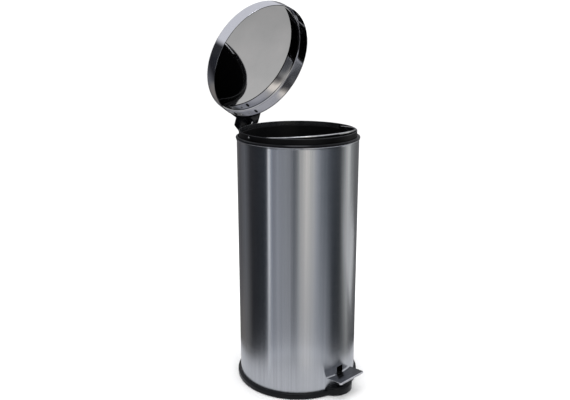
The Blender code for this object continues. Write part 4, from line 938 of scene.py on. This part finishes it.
ground = round_the_room(
    (-180, "3A3A3C"), (-138, "6E6A66"), (-112, "6A6866"), (-96, "1C1D20"), (-66, "303236"), (-52, "AEB1B8"),
    (-15, "BCBEC4"), (-8, "94969C"), (-1, "BCBEC4"), (58, "B6B9C0"), (72, "36383C"), (180, "3A3A3C"))
bands = round_the_room(
    (-180, "5E5E5F"), (-140, "484749"), (-118, "57585C"), (-98, "1E1E22"), (-66, "1C2127"),
    (-58.4, "2F353E"), (-55.4, "FFFFFF"), (-54.6, "FFFFFF"), (-51.8, "797E89"), (-46, "74767E"),
    (-36, "85878D"), (-20, "75777B"), (-13, "75777B"), (-7, "4C4E52"), (-1, "686A6C"), (5, "ABAAA6"),
    (16, "C6C1BB"), (24, "AFAEAA"),
    (36, "919398"), (44, "5D6166"), (60, "33383E"), (76, "24282D"), (86, "2F3234"), (96, "737473"),
    (108, "B7B7B4"), (113, "B2B2AF"), (119, "7E7F7E"), (140, "5A5A5B"), (180, "59595A"))
upper_bands = round_the_room(
    (-180, "707072"), (-130, "5C5C60"), (-100, "242528"), (-74, "242528"), (-50, "50545C"), (-20, "787A80"),
    (-9, "3A3B3E"), (6, "4A4A4C"), (11, "A8A49E"), (16, "FFF8EC"), (23, "FFF8EC"), (30, "BCBAB6"),
    (45, "8C8E96"), (100, "8C8E94"), (125, "B0B0B0"), (150, "808082"), (180, "707072"))
room_colour = over(sheen_colour("0E0E10"), ground, rising(-0.55, -0.45))
room_colour = over(room_colour, bands, rising(-0.44, -0.36))
room_colour = over(room_colour, upper_bands, rising(0.0, 0.18))
room_colour = over(room_colour, sheen_colour("B8B9BE"), rising(0.34, 0.50))
overhead_glow = rising(0.972, 0.986, 1.5, 9.0)
room = add_node(tree, "ShaderNodeBackground", {"Color": room_colour, "Strength": overhead_glow})
white = add_node(tree, "ShaderNodeBackground", {"Color": (1.0, 1.0, 1.0, 1.0), "Strength": 1.15})
rays = add_node(tree, "ShaderNodeLightPath")
seen = add_node(tree, "ShaderNodeMixShader", {0: rays.outputs["Is Glossy Ray"],
                                              1: white.outputs["Background"], 2: room.outputs["Background"]})
add_node(tree, "ShaderNodeOutputWorld", {"Surface": seen.outputs["Shader"]})


def soft_box(name, place, aim, width, depth, watts):
    """A soft area light of a size in metres, aimed at a point."""
    light = bpy.data.lights.new(name, "AREA")
    light.shape = "RECTANGLE"
    light.size, light.size_y, light.energy = width, depth, watts
    lamp = bpy.data.objects.new(name, light)
    lamp.location = place
    lamp.rotation_mode = "QUATERNION"
    lamp.rotation_quaternion = (Vector(aim) - Vector(place)).to_track_quat("-Z", "Y")
    bpy.context.scene.collection.objects.link(lamp)
    return lamp


lamps = [soft_box("overhead_box", (0.0, 0.1, 2.4), (0.0, 0.0, 0.0), 1.6, 1.6, 26.0),
         soft_box("front_box", (-0.92, -2.10, 1.90), (0.0, 0.0, 0.5), 0.70, 0.90, 3.5)]
for lamp in lamps:
    lamp.visible_glossy = False


# ---- Camera
# It stands in front and to the left, looking down a little, with a short telephoto lens.

lens = bpy.data.cameras.new("camera")
lens.lens, lens.sensor_width = 43.55, 36.0
lens.clip_start, lens.clip_end = 0.05, 100.0
camera = bpy.data.objects.new("camera", lens)
bpy.context.scene.collection.objects.link(camera)
pitch, roll = math.radians(14.90), 0.0017
east, north = 0.7009, 0.7133
ahead = Vector((east * math.cos(pitch), north * math.cos(pitch), -math.sin(pitch)))
right = Matrix.Rotation(roll, 3, ahead) @ Vector((north, -east, 0.0))
up = right.cross(ahead)
camera.matrix_world = Matrix.Translation(camera_place) @ Matrix((
    (right.x, up.x, -ahead.x), (right.y, up.y, -ahead.y), (right.z, up.z, -ahead.z))).to_4x4()
bpy.context.scene.camera = camera
bpy.context.scene.view_settings.view_transform = "Standard"
